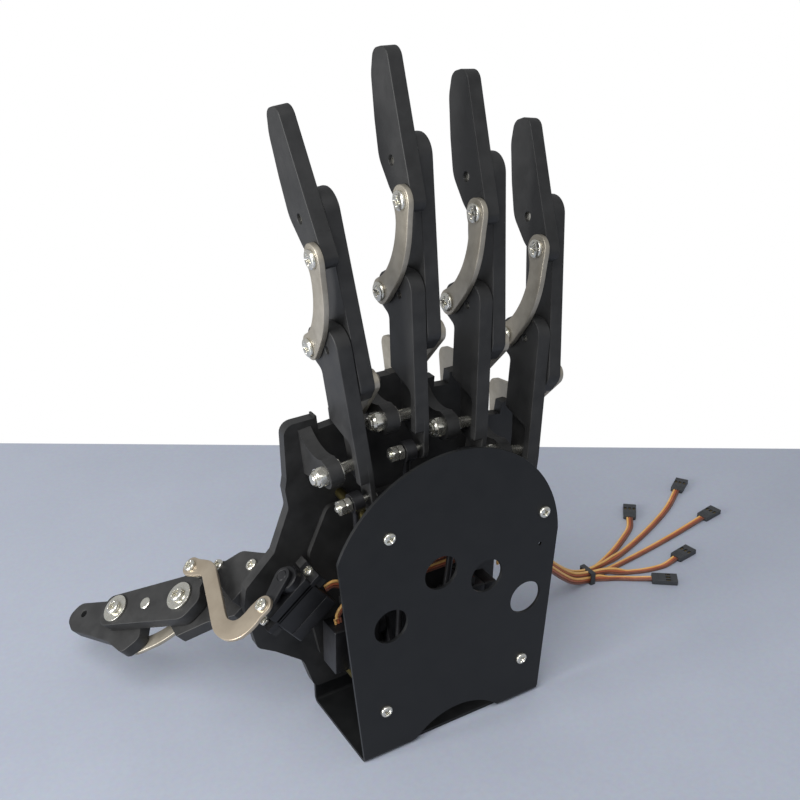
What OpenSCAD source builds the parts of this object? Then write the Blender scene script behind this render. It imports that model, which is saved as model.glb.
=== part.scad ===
// Five-finger robot hand on a bent sheet-metal bracket.
// Each finger is a stack of flat plates worked by crossed links, a push rod and its own servo.
// Origin: centre of the underside of the bracket's base. Fingers point up (+Z) and curl to +Y.

/* [Bracket] */
// Width of the bracket at its base
bracket_w = 95; // [90:0.5:110]
// Outside depth of the bracket, front to back
bracket_depth = 50; // [49:0.5:56]
// Thickness of the bent sheet
sheet_t = 1.5; // [1:0.1:2]
// Height of the front cover at the top of its arch
cover_h = 146.3; // [142:0.1:150]
// Radius of the front cover's arch
cover_arch_r = 58.3; // [56:0.1:60]
// Height of the back wall
back_h = 110; // [100:1:112]
// Height of the arched cut-out in the base edge of the front cover
foot_arch_h = 11.7; // [6:0.1:16]
// Width of the arched cut-out at the floor
foot_arch_w = 48; // [30:1:60]
// Diameter of the wiring and viewing holes in the front cover
window_d = 16.5; // [10:0.5:18]
// Diameter of the four base mounting holes
base_hole_d = 4.2; // [3:0.1:6]
// Spacing of the base mounting holes across the width
base_hole_x = 60; // [50:1:70]
// Spacing of the base mounting holes along the depth
base_hole_y = 24; // [20:1:30]

/* [Palm] */
// Thickness of the palm plate
palm_t = 5; // [4:0.1:6]
// Diameter of the standoffs between the cover and the palm plate
standoff_d = 4.5; // [4.2:0.1:5]
// Diameter of the standoff screws
m3 = 3; // [2.5:0.1:3]
// Width of each axle lug along its axle
lug_w = 6; // [4:0.5:7]
// Outside radius of an axle lug
lug_r = 6; // [5:0.1:7]

/* [Fingers] */
// Axle centres across the hand: index, middle, ring, little
knuckle_x = [-40, -13.4, 16, 44]; // [-60:0.1:60]
// Axle heights: index, middle, ring, little
knuckle_z = [140.3, 157, 145.3, 123.2]; // [110:0.1:180]
// How far each finger leans sideways, in degrees
fan = [-5, 1.5, 5.5, 9.5]; // [-12:0.5:12]
// Extra curl at rest of each finger's first joint, in degrees
rest_curl = [0, -1, 0, 1.5]; // [-3:0.5:3]
// Diameter of the finger axles
axle_d = 5; // [4:0.1:5.5]
// Distance from the axle to the middle joint
proximal_len = 52.5; // [50:0.5:60]
// Distance from the middle joint to the end joint
middle_len = 52.5; // [48:0.5:58]
// Distance from the end joint to the finger tip
distal_len = 41.9; // [38:0.1:46]
// Thickness of the finger plates
plate_t = 6.5; // [5.5:0.1:7]
// Width of the finger plates
plate_w = 18.7; // [17:0.1:20]
// Diameter of the joint pins
pin_d = 4; // [3:0.1:4.4]
// Thickness of the knuckle links
knuckle_link_t = 2.4; // [1.5:0.1:3]
// Thickness of the tip links
tip_link_t = 2.5; // [1.5:0.1:3]
// Width of the bent metal links
link_w = 8.5; // [7:0.1:9]

/* [Thumb] */
// Tilt of the thumb's plane about the depth axis, in degrees
thumb_tilt = 38; // [30:1:45]
// Distance between the thumb's two joints
thumb_len = 41.3; // [38:0.1:46]
// Thickness of the thumb plates
thumb_t = 6.2; // [5:0.1:7]
// Thickness of the thumb's drive link
drive_link_t = 1.8; // [1.2:0.1:2.4]

/* [Servos] */
// Length of a servo case
servo_l = 22.8; // [22:0.1:24]
// Width of a servo case
servo_w = 12.2; // [11:0.1:13]
// Height of a servo case without its gear tower
servo_h = 22.5; // [21:0.1:24]
// Length over a servo's two ears
servo_ear_l = 32.2; // [31:0.1:33]
// Height of the servo shafts: index, middle, ring, little
servo_z = [95, 52, 52, 97]; // [50:0.5:100]
// Diameter of the push rods
rod_d = 3; // [2:0.1:3.5]
// Diameter of a servo lead's flat bundle as a round cord
lead_d = 2.2; // [1.6:0.1:2.6]

/* [Hidden] */
$fn = 48;

INDEX = 0;
MIDDLE = 1;
RING = 2;
LITTLE = 3;
FINGERS = [INDEX, MIDDLE, RING, LITTLE];

black_metal = "#26272a";
black_plastic = "#2c2d30";
satin_nickel = "#8f8a80";
bright_nickel = "#c9c9c4";
olive_brass = "#7c7440";

// Running clearance of a pin in its bore, on the radius
fit = 0.05;
// Gap between plates that slide past each other
slide = 0.3;
// Overlap that joins two parts of one solid
merge = 0.5;

// Places along the depth axis
cover_y = -bracket_depth / 2;
cover_back_y = cover_y + sheet_t;
back_y = bracket_depth / 2 - sheet_t;
palm_y = back_y - palm_t;
axle_y = palm_y - 21.5;

// Sideways layers of a finger, measured from the left face of its first plate
cheek_recess = 1.5;
middle_x = plate_t + slide;
knuckle_link_x = middle_x + plate_t + slide;
knuckle_link_end = knuckle_link_x + knuckle_link_t;
tip_link_x = -slide - tip_link_t;
lug_right_x = -4;
lug_left_x = lug_right_x - lug_w;
rod_x = -1.2;
rod_eye_w = 4.8;
rod_eye_left = rod_x - rod_eye_w / 2;
rod_eye_right = rod_x + rod_eye_w / 2;
horn_t = 2;
ear_right_x = knuckle_link_x - slide;
ear_left_x = ear_right_x - 4;

// Rest angles of the three finger plates, each from the plate below
lean_proximal = 4;
lean_middle = 6;
lean_distal = 6;
// Turn of each follower for one degree of the first joint
middle_ratio = 1.44;
distal_ratio = 0.864;
knuckle_link_ratio = 0.68;

// Finger pivots as [y, z]
joint_c = [0, proximal_len];
tail_pin = [-6.5, -13.3];
tip_link_pin = [10.5, proximal_len - 1];
knuckle_pin = [-3.5, -16.7];
distal_tail_pin = [-8.7, -14.6];
link_ground_pin = [31.5, -3];
servo_offset_y = 6;

eye_r = 4.4;
link_end_r = link_w / 2;
head_r = 2.8;
head_t = 1.7;
axle_head_r = 4.3;
nut_af = 8;
nut_t = 5;
washer_t = 1;
washer_r = 5;

// Standoffs as [x, z]; the first ends on the palm plate, the rest on the back wall
standoff_xz = [[-32.9, 115.2], [46.8, 101.9], [37.1, 24], [-36.2, 25.8]];
flange_screw_xz = [[-65.6, 73.9], [-59.9, 57.4]];

// Turns a [y, z] point by an angle towards +Y, as a plate turns when its finger curls
function curl_point(p, a) = [p.x * cos(a) + p.y * sin(a), p.y * cos(a) - p.x * sin(a)];
function heading(p) = atan2(p.y, p.x);

// Outline through corners [x, y, radius]; each corner becomes an arc of its radius
function arc_corner(p, q, s, n) =
    let (u = unit2([p.x - q.x, p.y - q.y]), v = unit2([s.x - q.x, s.y - q.y]),
         half = acos(max(-1, min(1, u * v))) / 2, t = q.z / tan(half),
         c = [q.x, q.y] + unit2(u + v) * q.z / sin(half),
         a0 = heading([q.x, q.y] + u * t - c), a1 = heading([q.x, q.y] + v * t - c),
         sweep = (a1 - a0 + 540) % 360 - 180)
    [for (k = [0 : n]) c + q.z * [cos(a0 + sweep * k / n), sin(a0 + sweep * k / n)]];
function unit2(v) = v / norm(v);
function rounded(c, n = 6) = [for (i = [0 : len(c) - 1])
    each c[i].z == 0 ? [[c[i].x, c[i].y]]
        : arc_corner(c[(i + len(c) - 1) % len(c)], c[i], c[(i + 1) % len(c)], n)];

// A flat arm round two pivots, with straight sides tangent to both ends
module arm2d(p, q, rp, rq) {
    d = norm(q - p);
    a = heading(q - p);
    b = acos((rp - rq) / d);
    translate(p) circle(rp);
    translate(q) circle(rq);
    polygon([p + rp * [cos(a + b), sin(a + b)], q + rq * [cos(a + b), sin(a + b)],
             q + rq * [cos(a - b), sin(a - b)], p + rp * [cos(a - b), sin(a - b)]]);
}

// Stands a (y, z) outline up as a plate from x = from to x = to
module plate(from, to) {
    translate([from, 0, 0]) rotate([90, 0, 90]) linear_extrude(to - from) children();
}

// A round bar along x at a [y, z] point
module bar_x(p, r, from, to) {
    translate([from, p.x, p.y]) rotate([0, 90, 0]) cylinder(r = r, h = to - from);
}

// A round bar along the depth axis at an [x, z] point
module bar_y(p, r, from, to) {
    translate([p.x, from, p.y]) rotate([-90, 0, 0]) cylinder(r = r, h = to - from);
}

// A pan head whose flat side lies at z = 0 and whose crown points to +z
module pan_head(r = head_r, t = head_t) {
    cylinder(r = r, h = t * 0.45);
    translate([0, 0, t * 0.45]) cylinder(r1 = r, r2 = r * 0.62, h = t * 0.55);
}

// A screw along x: its head's flat side at x = seat, its shank running to x = end
module screw_x(p, seat, end, r = m3 / 2, hr = head_r, ht = head_t) {
    translate([seat, p.x, p.y]) rotate([0, end < seat ? 90 : -90, 0]) pan_head(hr, ht);
    bar_x(p, r, min(seat, end), max(seat, end));
}

module on_finger(i) {
    translate([knuckle_x[i], axle_y, knuckle_z[i]]) rotate([0, fan[i], 0]) children();
}

module turn_x(p, a) {
    translate([0, p.x, p.y]) rotate([-a, 0, 0]) children();
}

module on_proximal(i) {
    on_finger(i) turn_x([0, 0], lean_proximal + rest_curl[i]) children();
}

module on_middle(i) {
    on_proximal(i) turn_x(joint_c, lean_middle + middle_ratio * rest_curl[i]) children();
}

module on_distal(i) {
    on_middle(i) turn_x([0, middle_len], lean_distal + distal_ratio * rest_curl[i]) children();
}

// ---- Bracket ----

// Cover outline: flared sides cut by the arch
module cover2d() {
    flare = 0.085;
    arch_c = [-3, cover_h - cover_arch_r];
    top = cover_h + 4;
    difference() {
        intersection() {
            polygon([[-bracket_w / 2, 0], [bracket_w / 2, 0],
                     [bracket_w / 2 + flare * top, top], [-bracket_w / 2 - flare * top, top]]);
            union() {
                translate(arch_c) circle(cover_arch_r, $fn = 96);
                translate([-bracket_w, 0]) square([2 * bracket_w, arch_c.y]);
            }
        }
        foot_arch2d();
    }
}

// Shallow arch that leaves the cover standing on two feet
module foot_arch2d() {
    r = (foot_arch_w * foot_arch_w / 4 + foot_arch_h * foot_arch_h) / (2 * foot_arch_h);
    translate([1.5, foot_arch_h - r]) circle(r, $fn = 96);
}

module window_holes() {
    for (p = [[-32.7, 70.5], [-7.4, 88.8], [16.4, 78.4], [38.3, 58.5]])
        bar_y(p, window_d / 2, cover_y - 1, cover_back_y + 1);
    bar_y([45.4, 85.2], 0.9, cover_y - 1, cover_back_y + 1);
}

module palm_bracket() color(black_metal) {
    bend_r = 2 * sheet_t;
    difference() {
        union() {
            // front cover
            translate([0, cover_back_y, 0]) rotate([90, 0, 0]) linear_extrude(sheet_t) difference() {
                cover2d();
                translate([-bracket_w, -1]) square([2 * bracket_w, bend_r + 1]);
            }
            // back wall
            translate([0, back_y + sheet_t, 0]) rotate([90, 0, 0]) linear_extrude(sheet_t)
                polygon(rounded([[-bracket_w / 2, bend_r, 0], [bracket_w / 2, bend_r, 0],
                                 [bracket_w / 2, back_h, 8], [-bracket_w / 2, back_h, 8]]));
            // base and its two bends
            translate([-bracket_w / 2, cover_y + bend_r, 0])
                cube([bracket_w, bracket_depth - 2 * bend_r, sheet_t]);
            for (side = [-1, 1]) intersection() {
                bend_y = side * (bracket_depth / 2 - bend_r);
                translate([-bracket_w / 2, bend_y, bend_r]) rotate([0, 90, 0]) difference() {
                    cylinder(r = bend_r, h = bracket_w);
                    translate([0, 0, -1]) cylinder(r = bend_r - sheet_t, h = bracket_w + 2);
                }
                translate([-bracket_w, side > 0 ? bend_y : bend_y - bend_r, 0])
                    cube([2 * bracket_w, bend_r, bend_r]);
            }
        }
        // the foot arch runs through the front bend
        translate([0, cover_y + bend_r, 0]) rotate([90, 0, 0]) linear_extrude(2 * bend_r)
            foot_arch2d();
        window_holes();
        for (p = standoff_xz) {
            bar_y(p, m3 / 2 + fit, cover_y - 1, cover_back_y + 1);
            bar_y(p, m3 / 2 + fit, back_y - 1, back_y + sheet_t + 1);
        }
        for (x = [-1, 1], y = [-1, 1])
            translate([x * base_hole_x / 2, y * base_hole_y / 2, -1])
                cylinder(d = base_hole_d, h = sheet_t + 2);
    }
}

// ---- Palm plate with its axle lugs, link ears and thumb servo posts ----

module palm2d() {
    k = [for (i = FINGERS) [knuckle_x[i], knuckle_z[i]]];
    polygon(rounded([
        [-50, 14, 4], [-55, 31.5, 8], [-68.5, 42.5, 8], [-77, 48, 5], [-81.5, 72, 6],
        [-80, 81, 3], [-65.6, 94.7, 2], [-57.4, 114.7, 6], [-58.5, 124, 3], [-57.5, 129, 3],
        [k[0].x - 17.5, k[0].y + 14, 5], [k[0].x - 3, k[0].y + 14, 0],
        [k[0].x - 3, k[0].y + 15, 0], [k[0].x + 15.6, k[0].y + 14, 2],
        [k[0].x + 15.6, k[1].y + 8.7, 4], [k[1].x + 17.9, k[1].y + 8.7, 4],
        [k[1].x + 17.9, k[2].y + 13.5, 2], [k[2].x + 18.5, k[2].y + 13.5, 4],
        [k[2].x + 18.5, k[3].y + 12.8, 4], [k[3].x + 16.5, k[3].y + 12.8, 4],
        [k[3].x + 17, k[3].y - 22, 20], [52, 60, 30], [50, 14, 4]
    ]));
}

// Lug profile: a boss round the axle on an arm whose top edge is hollowed
module lug2d() {
    reach = palm_y - axle_y + merge;
    circle(lug_r);
    difference() {
        polygon([[0, lug_r], [reach, lug_r + 5.5], [reach, -lug_r - 4], [0, -lug_r]]);
        translate([8, 22.6]) circle(17.4);
    }
}

// Ear behind the plate that carries the ground end of a knuckle link
module link_ear2d() {
    root_y = palm_y + palm_t - axle_y - merge;
    translate(link_ground_pin) circle(5);
    polygon([link_ground_pin + [0, 5], [root_y, 2], [root_y, -12], link_ground_pin + [3, -4]]);
}

module palm_plate() color(black_plastic) difference() {
    union() {
        translate([0, palm_y + palm_t, 0]) rotate([90, 0, 0]) linear_extrude(palm_t) palm2d();
        for (i = FINGERS) on_finger(i) {
            plate(lug_left_x, lug_right_x) lug2d();
            plate(ear_left_x, ear_right_x) link_ear2d();
        }
        thumb_posts();
    }
    for (i = FINGERS) on_finger(i) {
        // slots in the top edge: one for the first plate, one for the knuckle link
        translate([-0.7, palm_y - axle_y - 1, 8.5]) cube([plate_t + 1.4, palm_t + 2, 20]);
        translate([knuckle_link_x - 0.8, palm_y - axle_y - 1, 11.3])
            cube([knuckle_link_t + 1.6, palm_t + 2, 14]);
        bar_x([0, 0], axle_d / 2 + fit, lug_left_x - 1, lug_right_x + 1);
        bar_x(link_ground_pin, m3 / 2 + fit, ear_left_x - 1, ear_right_x + 1);
    }
    for (p = concat(standoff_xz, flange_screw_xz))
        bar_y(p, m3 / 2 + fit, palm_y - 1, palm_y + palm_t + 1);
    on_thumb_servo() servo_pilot_holes();
}

module standoffs() color(olive_brass) for (p = standoff_xz) difference() {
    bar_y(p, standoff_d / 2, cover_back_y, palm_y);
    bar_y(p, m3 / 2 + fit, cover_back_y - 1, cover_back_y + 7);
    bar_y(p, m3 / 2 + fit, palm_y - 7, palm_y + 1);
}

module cover_screws() color(bright_nickel) for (p = standoff_xz) {
    translate([p.x, cover_y, p.y]) rotate([90, 0, 0]) pan_head();
    bar_y(p, m3 / 2, cover_y, cover_back_y + 6);
}

module rear_screws() color(bright_nickel) for (p = standoff_xz) {
    seat = p.y < back_h - 2 ? back_y + sheet_t : back_y;
    translate([p.x, seat, p.y]) rotate([-90, 0, 0]) pan_head();
    bar_y(p, m3 / 2, palm_y - 6, seat);
}

module flange_screws() color(bright_nickel) for (p = flange_screw_xz) {
    translate([p.x, palm_y, p.y]) rotate([90, 0, 0]) pan_head();
    bar_y(p, m3 / 2, palm_y, back_y + 4);
}

module axle_bolts() color(bright_nickel) for (i = FINGERS) on_finger(i)
    screw_x([0, 0], plate_t + 0.1, lug_left_x - nut_t - 1, axle_d / 2, axle_head_r, 2.7);

module axle_nuts() color(bright_nickel) for (i = FINGERS) on_finger(i)
    translate([lug_left_x - nut_t, 0, 0]) rotate([0, 90, 0]) difference() {
        cylinder(r = nut_af / 2 / cos(30), h = nut_t, $fn = 6);
        translate([0, 0, -1]) cylinder(r = axle_d / 2 + fit, h = nut_t + 2);
    }

module axle_washers() color(bright_nickel) for (i = FINGERS) on_finger(i)
    translate([lug_right_x, 0, 0]) rotate([0, 90, 0]) difference() {
        cylinder(r = washer_r, h = washer_t);
        translate([0, 0, -1]) cylinder(r = axle_d / 2 + fit, h = washer_t + 2);
    }

module link_pins() color(bright_nickel) for (i = FINGERS) on_finger(i)
    screw_x(link_ground_pin, knuckle_link_end + 0.1, ear_left_x - 0.8);

// ---- Finger plates ----

function half_w() = plate_w / 2;

module proximal2d() {
    h = half_w();
    polygon(rounded([
        [-h, joint_c.y + 9.7, 8.5], [h - 3, joint_c.y + 9.7, 8],
        [tip_link_pin.x + 5.8, joint_c.y + 4.5, 5.5], [tip_link_pin.x + 5.8, joint_c.y - 7, 5],
        [h - 0.8, joint_c.y - 11, 3], [h - 1.2, 20, 12], [6.4, 5, 6], [6.4, -6.4, 6],
        [tail_pin.x + eye_r, -9, 3], [tail_pin.x + eye_r, tail_pin.y - eye_r, 4],
        [tail_pin.x - eye_r, tail_pin.y - eye_r, 4], [-h - 2.4, 0, 12], [-h - 1.6, 20, 30]
    ]));
}

module proximal(i) color(black_plastic) on_proximal(i) {
    difference() {
        plate(0, plate_t) proximal2d();
        // the shank below the cheek is thinner, with a rounded step
        plate(-1, cheek_recess) difference() {
            translate([-30, -30]) square([60, 48]);
            translate([4, 27]) circle(14);
        }
        bar_x([0, 0], axle_d / 2 + fit, -1, plate_t + 1);
        bar_x(joint_c, pin_d / 2 + fit, 1.2, plate_t + 1);
        bar_x(joint_c, 1.2, -1, plate_t);
        bar_x(tip_link_pin, m3 / 2 + fit, -1, 5);
        bar_x(tail_pin, m3 / 2 + fit, -1, plate_t + 1);
    }
    // screw of the tip link, and the tail bolt with its two nuts
    screw_x(tip_link_pin, tip_link_x - 0.1, 4.5);
    screw_x(tail_pin, plate_t + 0.1, -10.4);
    for (x = [-6.4, -9.2]) translate([x, tail_pin.x, tail_pin.y]) rotate([0, 90, 0]) difference() {
        cylinder(r = 5.5 / 2 / cos(30), h = 2.4, $fn = 6);
        translate([0, 0, -1]) cylinder(r = m3 / 2 + fit, h = 5);
    }
}

module middle2d() {
    h = half_w();
    polygon(rounded([
        [-h, middle_len + 9.8, 8.6], [h, middle_len + 9.8, 8.6], [h - 0.6, 18, 30],
        [h - 1.6, -10, 10], [knuckle_pin.x + 7.5, -24.5, 6], [knuckle_pin.x + 0.5, -24.5, 5],
        [-h, -18, 6]
    ]));
}

module middle(i) color(black_plastic) on_middle(i) {
    difference() {
        plate(middle_x, middle_x + plate_t) middle2d();
        for (p = [[0, 0], [0, middle_len]])
            bar_x(p, pin_d / 2 + fit, middle_x - 1, middle_x + plate_t + 1);
    }
    // the two joint pins ride in this plate
    for (p = [[0, 0], [0, middle_len]])
        screw_x(p, middle_x + plate_t + 0.1, 1.4, pin_d / 2, 3.4, 1.8);
}

// Blunt finger tip: straight back, bowed pad, tail that reaches the tip link
module distal2d() {
    tip = distal_len;
    tail = distal_tail_pin;
    polygon(rounded([
        [-4.8, tip + 0.3, 3], [5, tip, 5], [8.8, tip - 9, 14], [9.8, 16, 40], [9.6, 1, 14],
        [3.6, -10.5, 12], [tail.x + 5.2, tail.y - 5.2, 5], [tail.x - 4.6, tail.y - 5.2, 5],
        [-11.6, -6, 20], [-9.8, 6, 40]
    ]));
}

module distal(i) color(black_plastic) on_distal(i) difference() {
    plate(0, plate_t) distal2d();
    bar_x([0, 0], pin_d / 2 + fit, 1.2, plate_t + 1);
    bar_x([0, 0], 1.2, -1, plate_t);
}

// ---- Finger links ----

// Cranked link that runs from the tail of the middle plate over the palm's top edge
module knuckle_link(i) color(satin_nickel) on_finger(i)
    turn_x(link_ground_pin, knuckle_link_ratio * rest_curl[i]) {
        rest_c = curl_point(joint_c, lean_proximal);
        h = rest_c + curl_point(knuckle_pin, lean_proximal + lean_middle) - link_ground_pin;
        bend_low = [12, 18.5] - link_ground_pin;
        bend_high = [36.5, 15.5] - link_ground_pin;
        difference() {
            plate(knuckle_link_x, knuckle_link_end) {
                arm2d(h, bend_low, link_end_r + 0.5, link_end_r);
                arm2d(bend_low, bend_high, link_end_r, link_end_r);
                arm2d(bend_high, [0, 0], link_end_r, link_end_r);
            }
            bar_x([0, 0], m3 / 2 + fit, knuckle_link_x - 1, knuckle_link_end + 1);
            bar_x(h, m3 / 2 + fit, knuckle_link_x - 1, knuckle_link_end + 1);
        }
        screw_x(h, knuckle_link_end + 0.1, knuckle_link_x);
    }

// Bowed strap between two pivots on the x axis, bowing to +y
module bowed_strap2d(span, bow, w, n = 10) {
    r = (span * span / 4 + bow * bow) / (2 * bow);
    c = [span / 2, bow - r];
    a0 = heading(-c);
    a1 = heading([span, 0] - c);
    edge = w / 2;
    circle(link_end_r);
    translate([span, 0]) circle(link_end_r);
    polygon([
        for (k = [0 : n]) c + (r + edge) * [cos(a0 + (a1 - a0) * k / n), sin(a0 + (a1 - a0) * k / n)],
        for (k = [n : -1 : 0]) c + (r - edge) * [cos(a0 + (a1 - a0) * k / n), sin(a0 + (a1 - a0) * k / n)]
    ]);
}

module tip_link(i) color(satin_nickel) {
    // the far pivot on the tip plate's tail, seen from the first plate at the design pose
    e = joint_c + curl_point([0, middle_len], lean_middle);
    far = e + curl_point(distal_tail_pin, lean_middle + lean_distal) - tip_link_pin;
    swing = middle_ratio * 0.94 * rest_curl[i];
    on_proximal(i) turn_x(tip_link_pin, swing) {
        difference() {
            plate(tip_link_x, tip_link_x + tip_link_t) rotate(heading(far))
                bowed_strap2d(norm(far), 6.5, link_w - 0.7);
            bar_x([0, 0], m3 / 2 + fit, tip_link_x - 1, 1);
            bar_x(far, m3 / 2 + fit, tip_link_x - 1, 1);
        }
        screw_x(far, tip_link_x - 0.1, tip_link_x + tip_link_t);
    }
}

// ---- Servos, horns and push rods ----

tower_t = 4;
tower_r = 5.9;
shaft_to_end = 5.9;
ear_t = 2.5;
ear_drop = 4;
spline_r = 2.4;
spline_h = 2.2;

// Servo with its shaft on +z: the gear tower's top at z = 0, the long side towards -x
module servo_body() {
    case_x = shaft_to_end - servo_l;
    ear_x = case_x - (servo_ear_l - servo_l) / 2;
    difference() {
        union() {
            translate([case_x, -servo_w / 2, -tower_t - servo_h]) cube([servo_l, servo_w, servo_h]);
            translate([0, 0, -tower_t]) cylinder(r = tower_r, h = tower_t);
            translate([-8.8, 0, -tower_t]) cylinder(r = 2.8, h = tower_t);
            translate([ear_x, -servo_w / 2, -tower_t - ear_drop - ear_t])
                cube([servo_ear_l, servo_w, ear_t]);
            cylinder(r = spline_r, h = spline_h);
        }
        for (x = [ear_x + 2.3, ear_x + servo_ear_l - 2.3])
            translate([x, 0, -tower_t - ear_drop - ear_t - 1]) cylinder(r = 1.1, h = ear_t + 2);
    }
}

// Screw centres in the ears, along the servo's length
function ear_screw_x() = [shaft_to_end - servo_l - (servo_ear_l - servo_l) / 2 + 2.3,
                          shaft_to_end + (servo_ear_l - servo_l) / 2 - 2.3];
ear_under_z = -tower_t - ear_drop - ear_t;
post_w = 4.2;
post_t = 4;

module servo_pilot_holes() {
    for (x = ear_screw_x()) translate([x, 0, ear_under_z - 3.5]) cylinder(r = 0.95 + fit, h = 5);
}

// Two posts under the ears, from the servo's front edge back to y = reach
module servo_posts(front, reach) {
    for (x = ear_screw_x())
        translate([x - post_w / 2, front, ear_under_z - post_t])
            cube([post_w, reach - front, post_t]);
}

module ear_screws() {
    for (x = ear_screw_x()) translate([x, 0, 0]) {
        translate([0, 0, ear_under_z - 3]) cylinder(r = 0.95, h = 3 + ear_t);
        translate([0, 0, ear_under_z + ear_t]) pan_head(1.9, 1.4);
    }
}

// Which way each finger servo lies: 1 with its case to the right of the rod, -1 to the left
servo_side = [1, -1, 1, -1];

function servo_drop(i) = (knuckle_z[i] - servo_z[i]) / cos(fan[i]);
function horn_near_x(i) = servo_side[i] > 0 ? rod_eye_right + slide : rod_eye_left - slide - horn_t;
function tower_x(i) = servo_side[i] > 0 ? horn_near_x(i) + horn_t + slide : horn_near_x(i) - slide;

// Servo frame: +z along the shaft, +x up the finger, +y to the palm plate
module at_servo(i) {
    on_finger(i) translate([tower_x(i), servo_offset_y, -servo_drop(i)])
        rotate([0, -90 * servo_side[i], 0]) rotate([0, 0, servo_side[i] > 0 ? 0 : 180]) children();
}

module finger_servo(i) color("#35363a") at_servo(i) servo_body();

// Horn turned by the first joint: its arm stays equal and parallel to the tail arm
module horn(i) color("#d8d8d4") {
    hub_x = horn_near_x(i);
    pin_end = servo_side[i] > 0 ? rod_eye_left - 0.1 : rod_eye_right + 0.1;
    on_finger(i) turn_x([servo_offset_y, -servo_drop(i)], lean_proximal + rest_curl[i]) {
        difference() {
            plate(hub_x, hub_x + horn_t) arm2d([0, 0], tail_pin, 4.3, 3.1);
            bar_x([0, 0], spline_r + fit, hub_x - 1, hub_x + horn_t + 1);
            bar_x(tail_pin, m3 / 2 + fit, hub_x - 1, hub_x + horn_t + 1);
        }
        screw_x(tail_pin, pin_end, servo_side[i] > 0 ? hub_x + horn_t : hub_x);
    }
}

// Straight rod with an eye at each end, from the horn up to the tail bolt
module rod(i) color(black_metal) on_finger(i) {
    top = curl_point(tail_pin, lean_proximal + rest_curl[i]);
    low = top + [servo_offset_y, -servo_drop(i)];
    reach = norm(top - low);
    difference() {
        union() {
            for (p = [top, low]) bar_x(p, eye_r, rod_eye_left, rod_eye_right);
            translate([rod_x, low.x, low.y]) rotate([heading(top - low) - 90, 0, 0])
                cylinder(d = rod_d, h = reach);
        }
        for (p = [top, low]) bar_x(p, m3 / 2 + fit, rod_eye_left - 1, rod_eye_right + 1);
    }
}

// Rack that carries the four finger servos on posts
module servo_mount() color(black_plastic) difference() {
    back_t = 2.5;
    union() {
        translate([0, palm_y, 0]) rotate([90, 0, 0]) linear_extrude(back_t) difference() {
            polygon(rounded([[-47, 32, 4], [38, 32, 4], [40, 70, 8], [36, 111, 4], [-40, 111, 4],
                             [-50, 90, 6], [-50, 50, 6]]));
            polygon(rounded([[-8, 42, 4], [3, 42, 4], [3, 98, 4], [-8, 98, 4]]));
        }
        for (i = FINGERS) at_servo(i) scale_posts(i);
    }
    for (i = FINGERS) at_servo(i) servo_pilot_holes();
}

module scale_posts(i) {
    reach = palm_y - 1 - (axle_y + servo_offset_y);
    mirror([0, servo_side[i] > 0 ? 0 : 1, 0]) servo_posts(-5, reach);
}

module servo_screws() color(bright_nickel) {
    for (i = FINGERS) at_servo(i) ear_screws();
    on_thumb_servo() ear_screws();
}

// ---- Thumb: drawn in its own plane, pointing to -x and +y, with its top faces at z = 0 ----

thumb_origin = [-60.3, palm_y + 0.5, 93];
thumb_b = [-48.9, 34.5];
thumb_dir = [cos(133.2), sin(133.2)];
thumb_side = [cos(43.2), sin(43.2)];
thumb_a = thumb_b + thumb_len * thumb_dir;
link_ground_t = thumb_b + [7.9, 4.7];
distal_tail_t = thumb_a + [-6.8, -16.6];
drive_pin = thumb_b + [13.9, 0.5];
thumb_shaft = [-7, -14];
crank_pin = [-21, -20];
thumb_low_top = -thumb_t - slide;
thumb_low_bottom = thumb_low_top - thumb_t;
thumb_link_t = 2;
drive_z = 5;
thumb_tower_z = 2.5;
thumb_horn_z = thumb_tower_z + slide;

module on_thumb() {
    translate(thumb_origin) rotate([0, -thumb_tilt, 0]) children();
}

module on_thumb_servo() {
    on_thumb() translate([thumb_shaft.x, thumb_shaft.y, thumb_tower_z]) children();
}

// Posts on the palm plate for the thumb servo's ears
module thumb_posts() {
    on_thumb_servo() servo_posts(-5, palm_y - thumb_origin.y - thumb_shaft.y + 1);
}

module thumb_servo() color("#35363a") on_thumb_servo() servo_body();

// Layer from z = low to z = high of a flat outline
module layer(low, high) {
    translate([0, 0, low]) linear_extrude(high - low) children();
}

module hole_z(p, r, low, high) {
    translate([p.x, p.y, low]) cylinder(r = r, h = high - low);
}

module screw_z(p, seat, end, r = m3 / 2, hr = head_r, ht = head_t) {
    translate([p.x, p.y, seat]) mirror([0, 0, end > seat ? 1 : 0]) pan_head(hr, ht);
    hole_z(p, r, min(seat, end), max(seat, end));
}

thumb_base_screw_xy = [[-14.6, 10.8], [-26.3, 28.7]];

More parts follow.
